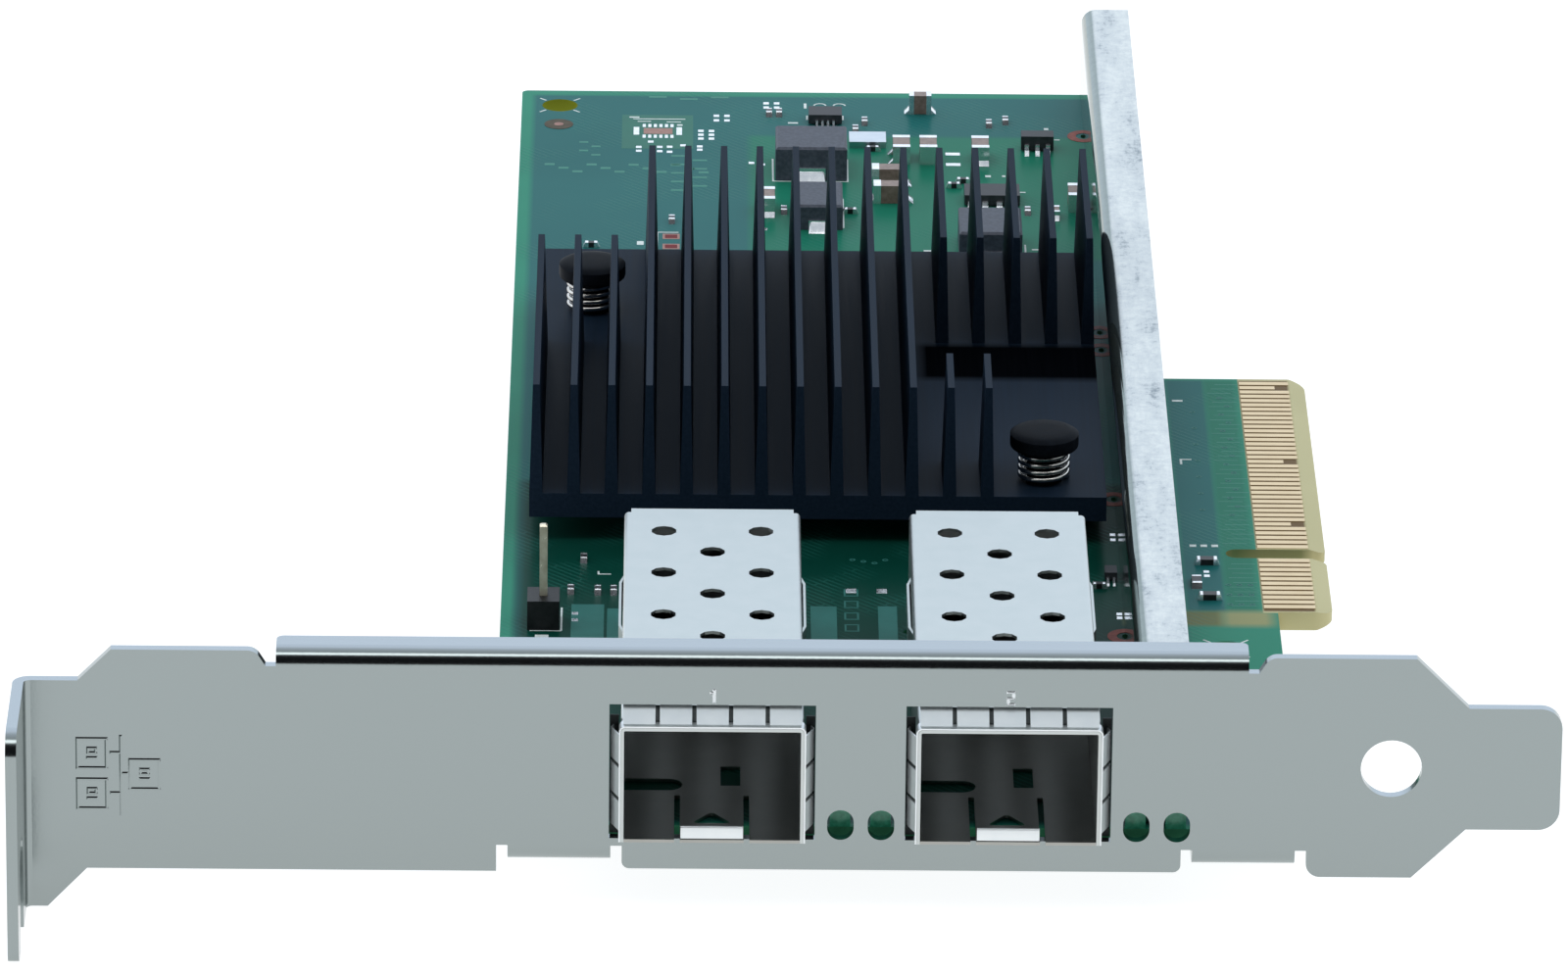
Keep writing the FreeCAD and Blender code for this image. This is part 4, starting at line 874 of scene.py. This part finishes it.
lines = bracket_line(-45.15, -38.35, 87.3, 93.0, "lr")
lines += [(-45.15, -43.3, 87.2, 87.36), (-39.7, -38.35, 87.2, 87.36)]
lines += [(-39.0, -38.84, 75.5, 82.9), (-23.1, -22.94, 69.5, 71.7), (-62.83, -62.67, -17.7, -12.8),
          (-65.3, -62.75, -17.8, -17.64), (-65.3, -65.14, -17.7, -17.0), (-59.9, -59.74, -5.5, -4.9),
          (-59.9, -58.8, -5.6, -5.44)]
lines += bracket_line(-55.4, -53.46, 69.5, 74.2, "lt")
lines += [(-57.6, -52.9, 103.05, 103.25), (-57.2, -56.0, 102.4, 102.6), (-54.6, -53.3, 102.3, 102.5)]
lines += [around(x, y, w, d) for x, y, w, d in (
    (-57.5, 103.6, 0.9, 0.3), (-53.4, 101.6, 0.5, 0.4), (-43.2, 102.4, 0.9, 0.35), (-42.07, 106.9, 0.25, 1.3),
    (-41.92, 103.8, 0.16, 1.1), (-38.7, 103.8, 0.16, 1.1), (-20.4, 101.3, 0.4, 0.5), (-19.5, 98.5, 0.5, 0.25),
    (-22.9, 84.9, 0.5, 0.25), (-22.1, 70.5, 0.7, 0.3), (-31.5, 70.0, 0.9, 0.3), (-24.5, 89.0, 0.3, 0.4),
    (-25.9, 88.95, 0.5, 0.5), (-54.1, 77.0, 0.4, 1.4), (-56.8, 71.4, 0.6, 0.9), (-64.3, -18.9, 1.1, 0.6))]
lines += [around(-11.2, 20.4, 0.2, 1.2), around(-10.7, 20.9, 0.8, 0.2), around(-11.0, 34.4, 0.9, 0.4)]
lines += row(3, -10.9, 1.65, 0.9, 0, 0.55, 0.5)
plates("printed_lines", lines, 0.025, ink)

# %% Ticks round the mounting holes
def tick(x, y, reach, angle):
    """A short radial tick beside a hole."""
    mark = slope_rims(start_box("tick", (reach, -LINE / 2, 0), (reach + 0.8, LINE / 2, 0.015)), 0.01)
    mark.rotation_euler = (0, 0, math.radians(angle))
    mark.location = (x * MM, y * MM, 0)
    return bake_place(mark)


FAR_HOLE = (-64.25, 106.6)
NEAR_HOLE = (-9.0, -20.4)
hole_ticks = [tick(x, y, 1.75, angle) for x, y in (FAR_HOLE, NEAR_HOLE) for angle in (45, 135, 225, 315)]
finished(join("hole_ticks", hole_ticks), ink)

# %% [markdown]
# ## Rings, vias and copper areas
# The bar's pegs go through plated holes with a wide ring, which looks copper red under the mask.
# Vias are small tented rings in rows near the contacts and between the cages. The pale rectangles
# beside the cages are copper areas under the mask.

# %% Rings
def ring(name, x, y, inner, outer, height=0.03, vertices=32):
    """A flat ring: a disc is inset once, its middle is deleted and the rest is raised."""
    clear()
    bpy.ops.mesh.primitive_circle_add(vertices=vertices, radius=outer * MM, fill_type="NGON",
                                      location=(x * MM, y * MM, 0.0))
    disc = bake_place(bpy.context.object)
    disc.name = name
    choose(disc, lambda c, n: True)
    bpy.ops.mesh.inset(thickness=(outer - inner) * MM)
    bpy.ops.mesh.delete(type="FACE")
    bpy.ops.mesh.select_all(action="SELECT")
    bpy.ops.mesh.extrude_region_move(TRANSFORM_OT_translate={"value": (0, 0, height * MM)})
    bpy.ops.mesh.select_all(action="SELECT")
    bpy.ops.mesh.normals_make_consistent(inside=False)
    bpy.ops.object.mode_set(mode="OBJECT")
    return disc


PEG_X = -17.0
PEG_SPOTS = (-18.0, 11.8, 46.2, 50.4, 99.5)
FIDUCIAL = (-64.3, 101.6)       # bare dot that an assembly machine looks for
rings = [ring("peg_ring", PEG_X, y, 0.8, 1.55) for y in PEG_SPOTS]
finished(join("peg_rings", rings), red_copper)
finished(ring("fiducial_dot", *FIDUCIAL, 0.02, 0.42, 0.04), pale_copper)
finished(ring("fiducial", *FIDUCIAL, 0.4, 1.3), fibre)

# %% Arcs
def arc(x, y, inner, outer):
    """The far half of a printed ring."""
    half = ring("arc", x, y, inner, outer, 0.025, 24)
    choose(half, lambda c, n: c.y < y)
    bpy.ops.mesh.delete(type="FACE")
    bpy.ops.object.mode_set(mode="OBJECT")
    return half


finished(join("half_rings", [arc(x, 107.0, 0.45, 0.6) for x in (-40.74, -38.98)]), ink)

# %% Vias
via = ring("via", 0, 0, 0.12, 0.26, 0.015, 10)
via_spots = [(-7.4 + 0.55 * (n % 2), 8.5 + 1.9 * n) for n in range(15)]
via_spots += [(-9.8, 9.6 + 3.7 * n) for n in range(7)]
via_spots += [(-39.0 + 0.9 * n, -2.0 - 0.35 * (n % 3)) for n in range(4)]
via_spots += [(-8.3 + 0.9 * (n % 3), -11.0 + 2.1 * (n // 3)) for n in range(9)]
vias = [copy_to(via, x, y) for x, y in via_spots]
bpy.data.objects.remove(via)
finished(join("vias", vias), plane_mask)

# %% Copper areas under the mask
areas = [(-61.97, -59.3, -20.0, -12.05), (-59.05, -58.1, -20.0, -12.9), (-42.54, -40.4, -20.0, -12.1),
         (-37.05, -35.5, -20.0, -12.0)]
for n in range(4):
    areas += bracket_line(-39.8, -38.6, -9.9 - 2.5 * n, -8.4 - 2.5 * n, "bt")
    areas += bracket_line(-39.8, -38.6, -9.7 - 2.5 * n, -8.6 - 2.5 * n, "lr")
plates("copper_areas", areas, 0.012, plane_mask)
tracks = [around(-7.4 + 0.35 * (n % 3), 2.2 + 1.03 * n, 2.0, 0.14) for n in range(36)]
tracks += [around(-7.2 + 0.3 * (n % 2), -11.3 + 1.0 * n, 2.0, 0.14) for n in range(10)]
tracks += [around(-65.0 + 1.25 * n, 91.2 - 0.9 * (n % 3), 0.9, 0.5) for n in range(12)]
tracks += [around(-62.0 + 1.1 * (n % 2), 97.0 - 1.1 * n, 0.8, 0.4) for n in range(4)]
tracks += [around(-53.5 + 1.9 * (n % 2), 93.6 - 1.1 * n, 1.3, 0.4) for n in range(9)]
tracks += [around(-55.4 + 2.8 * (n % 3), 109.0 - 0.5 * (n % 2), 1.6, 0.4) for n in range(3)]
plates("faint_tracks", tracks, 0.01, pale_mask)
plates("footprint_area", [(-58.6, -52.2, 95.4, 104.2)], 0.008, shade_mask)
plates("red_pads", row(2, -54.1, 70.6, 0, 2.5, 1.5, 1.3), 0.02, pale_copper)
plates("dark_pads", row(2, -54.1, 70.6, 0, 2.5, 1.1, 0.9), 0.03, dark_copper)
plates("footprint_middle", [around(fx, fy, 2.6, 1.5)], 0.02, pale_copper)

# %% [markdown]
# ## Port mouths
# The latch in the floor of each port ends in a bright lip that is turned down at the mouth, and the
# gaps between the collar's fingers get dark wedges of painted shade.

# %% Latch lips
LIP_W = 4.85
LIP_T = 0.1         # in front of and behind the mouth
LIP_LOW = 0.5
LIP_HIGH = 1.5
for name in "ab":
    low, high = (Vector(c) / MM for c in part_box("cage_base_" + name))
    x = (low.x + high.x) / 2
    lip = start_box("latch_lip_" + name, (x - LIP_W / 2, low.y - LIP_T, LIP_LOW),
                    (x + LIP_W / 2, low.y + LIP_T, LIP_HIGH))
    choose(lip, lambda c, d: c.z > LIP_HIGH - 0.1 and c.y < low.y, "EDGE")
    bpy.ops.mesh.bevel(offset=0.12 * MM, segments=3)
    bpy.ops.object.mode_set(mode="OBJECT")
    finished(lip, collar_sheet, 40)

# %% Painted shade in the gaps between the collar fingers
painted_gap_shade = moulded("painted_gap_shade", tint(54, 60, 60), tint(42, 48, 48), 0.6)
GAP_W = 0.34
MOUTH_W = 14.2
FINGER_SLOPE = ((0.95, 0.28), (2.1, 1.1))       # behind the mouth, and height over the wall


def gap_wedge(x, z, mouth_y, side, rise):
    """Dark wedge of painted shade between two fingers: on top of the cage, or on its left or right wall."""
    (near, low_rise), (far, high_rise) = FINGER_SLOPE
    step, top = low_rise * rise, high_rise * rise
    if side:
        a, b = sorted((x, x + side * top))
        wedge = start_box("gap", (a, mouth_y + near, z - GAP_W / 2), (b, mouth_y + far, z + GAP_W / 2))
        choose(wedge, lambda c, d: c.y < mouth_y + near + 0.01 and abs(c.x - x - side * top) < 0.01, "EDGE")
        bpy.ops.transform.translate(value=(side * (step - top) * MM, 0, 0))
    else:
        wedge = start_box("gap", (x - GAP_W / 2, mouth_y + near, z), (x + GAP_W / 2, mouth_y + far, z + top))
        choose(wedge, lambda c, d: c.y < mouth_y + near + 0.01 and c.z > z + top - 0.01, "EDGE")
        bpy.ops.transform.translate(value=(0, 0, (step - top) * MM))
    bpy.ops.object.mode_set(mode="OBJECT")
    return wedge


gaps = []
for name in "ab":
    low, high = (Vector(c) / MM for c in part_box("cage_cover_" + name))
    x, mouth_y = (low.x + high.x) / 2, low.y
    gaps += [gap_wedge(x + (n - 1.5) * MOUTH_W / 5, high.z, mouth_y, 0, 1.0) for n in range(4)]
    gaps += [gap_wedge(x + side * MOUTH_W / 2, z, mouth_y, side, 0.62)
             for side in (-1, 1) for z in (3.5, 6.3)]
    # Dark strips of painted shade beside the mouth.
    for side in (-1, 1):
        a, b = sorted((x + side * (MOUTH_W / 2 + 0.15), x + side * (MOUTH_W / 2 + 0.85)))
        gaps.append(start_box("gap", (a, mouth_y + 2.7, -0.25), (b, mouth_y + 2.8, 9.7)))
finished(join("collar_gap_shade", gaps), painted_gap_shade)

# %% [markdown]
# ## Marks stamped in the bracket
# Three boxes on a common line are the usual sign for a wired network, and plain numbers tell the two
# ports apart. Both are stamped into the sheet, which leaves a narrow raised lip round each stroke.
# The strokes are thin bars whose sides slope gently, so that the upper slope mirrors the dark side
# of the room and draws a thin dark line. The numbers get the brighter collar sheet as a painted
# highlight, standing in for the glint on their edges.

# %% Stamped strokes
FACE_Y = -59.05
STAMP = 0.06
SLOPE_W = 0.11


def stroke(x0, x1, z0, z1):
    """A low ridge on the bracket's face: a plate whose front is inset and raised."""
    ridge = start_box("stroke", (x0 - SLOPE_W, FACE_Y - 0.005, z0 - SLOPE_W),
                      (x1 + SLOPE_W, FACE_Y + 0.1, z1 + SLOPE_W))
    choose(ridge, lambda c, n: n.y < -0.9)
    bpy.ops.mesh.inset(thickness=SLOPE_W * MM)
    bpy.ops.transform.translate(value=(0, -STAMP * MM, 0))
    bpy.ops.object.mode_set(mode="OBJECT")
    return ridge


def stamped_box(x0, x1, z0, z1, w=0.05):
    return [stroke(x0, x1, z0, z0 + w), stroke(x0, x1, z1 - w, z1), stroke(x0, x0 + w, z0 + w, z1 - w),
            stroke(x1 - w, x1, z0 + w, z1 - w)]


sign = []
for x, z in ((-98.67, 6.6), (-98.67, 3.2), (-94.6, 4.85)):
    sign += stamped_box(x - 1.15, x + 1.15, z - 1.3, z + 1.2)
    sign += stamped_box(x - 0.32, x + 0.32, z - 0.02, z + 0.4, 0.04)
    sign.append(stroke(x - 0.35, x + 0.35, z - 0.45, z - 0.4))
sign += [stroke(-96.45, -96.4, 1.4, 8.0), stroke(-97.2, -96.45, 6.6, 6.65), stroke(-97.2, -96.45, 3.2, 3.25),
         stroke(-96.3, -95.95, 4.85, 4.9)]
finished(join("network_sign", sign), nickel)

# %% Port numbers
NUMBER_W = 0.46
NUMBER_LOW = 11.22
NUMBER_HIGH = 12.22
THIN = 0.05


def number_one(x):
    """A tall stroke with a short flag."""
    return [stroke(x, x + THIN, NUMBER_LOW, NUMBER_HIGH),
            stroke(x - 0.2, x, NUMBER_HIGH - 0.24, NUMBER_HIGH - 0.19)]


def number_two(x):
    """Three level strokes with two short upright ones between them."""
    left, right = x - NUMBER_W / 2, x + NUMBER_W / 2
    middle = (NUMBER_LOW + NUMBER_HIGH) / 2
    return [stroke(left, right, z - THIN / 2, z + THIN / 2) for z in (NUMBER_LOW, middle, NUMBER_HIGH)] + [
        stroke(right - THIN, right, middle, NUMBER_HIGH), stroke(left, left + THIN, NUMBER_LOW, middle)]


# Painted highlight: the numbers take the brighter collar sheet in place of the glint on their edges.
finished(join("port_numbers", number_one(-50.5) + number_two(-27.5)), collar_sheet)

# %% Floor finish
pale_floor = new_finish("pale_floor", tint(130, 131, 132), 0.8, Emission_Color=(0.98, 0.99, 1.0, 1.0),
                        Emission_Strength=0.95)
dust = grain(pale_floor, "Noise", Scale=3.0, Detail=2.0)
shades(pale_floor, dust.outputs["Fac"], (0.3, tint(128, 129, 130)), (0.7, tint(134, 135, 136)))
floor.data.materials.append(pale_floor)
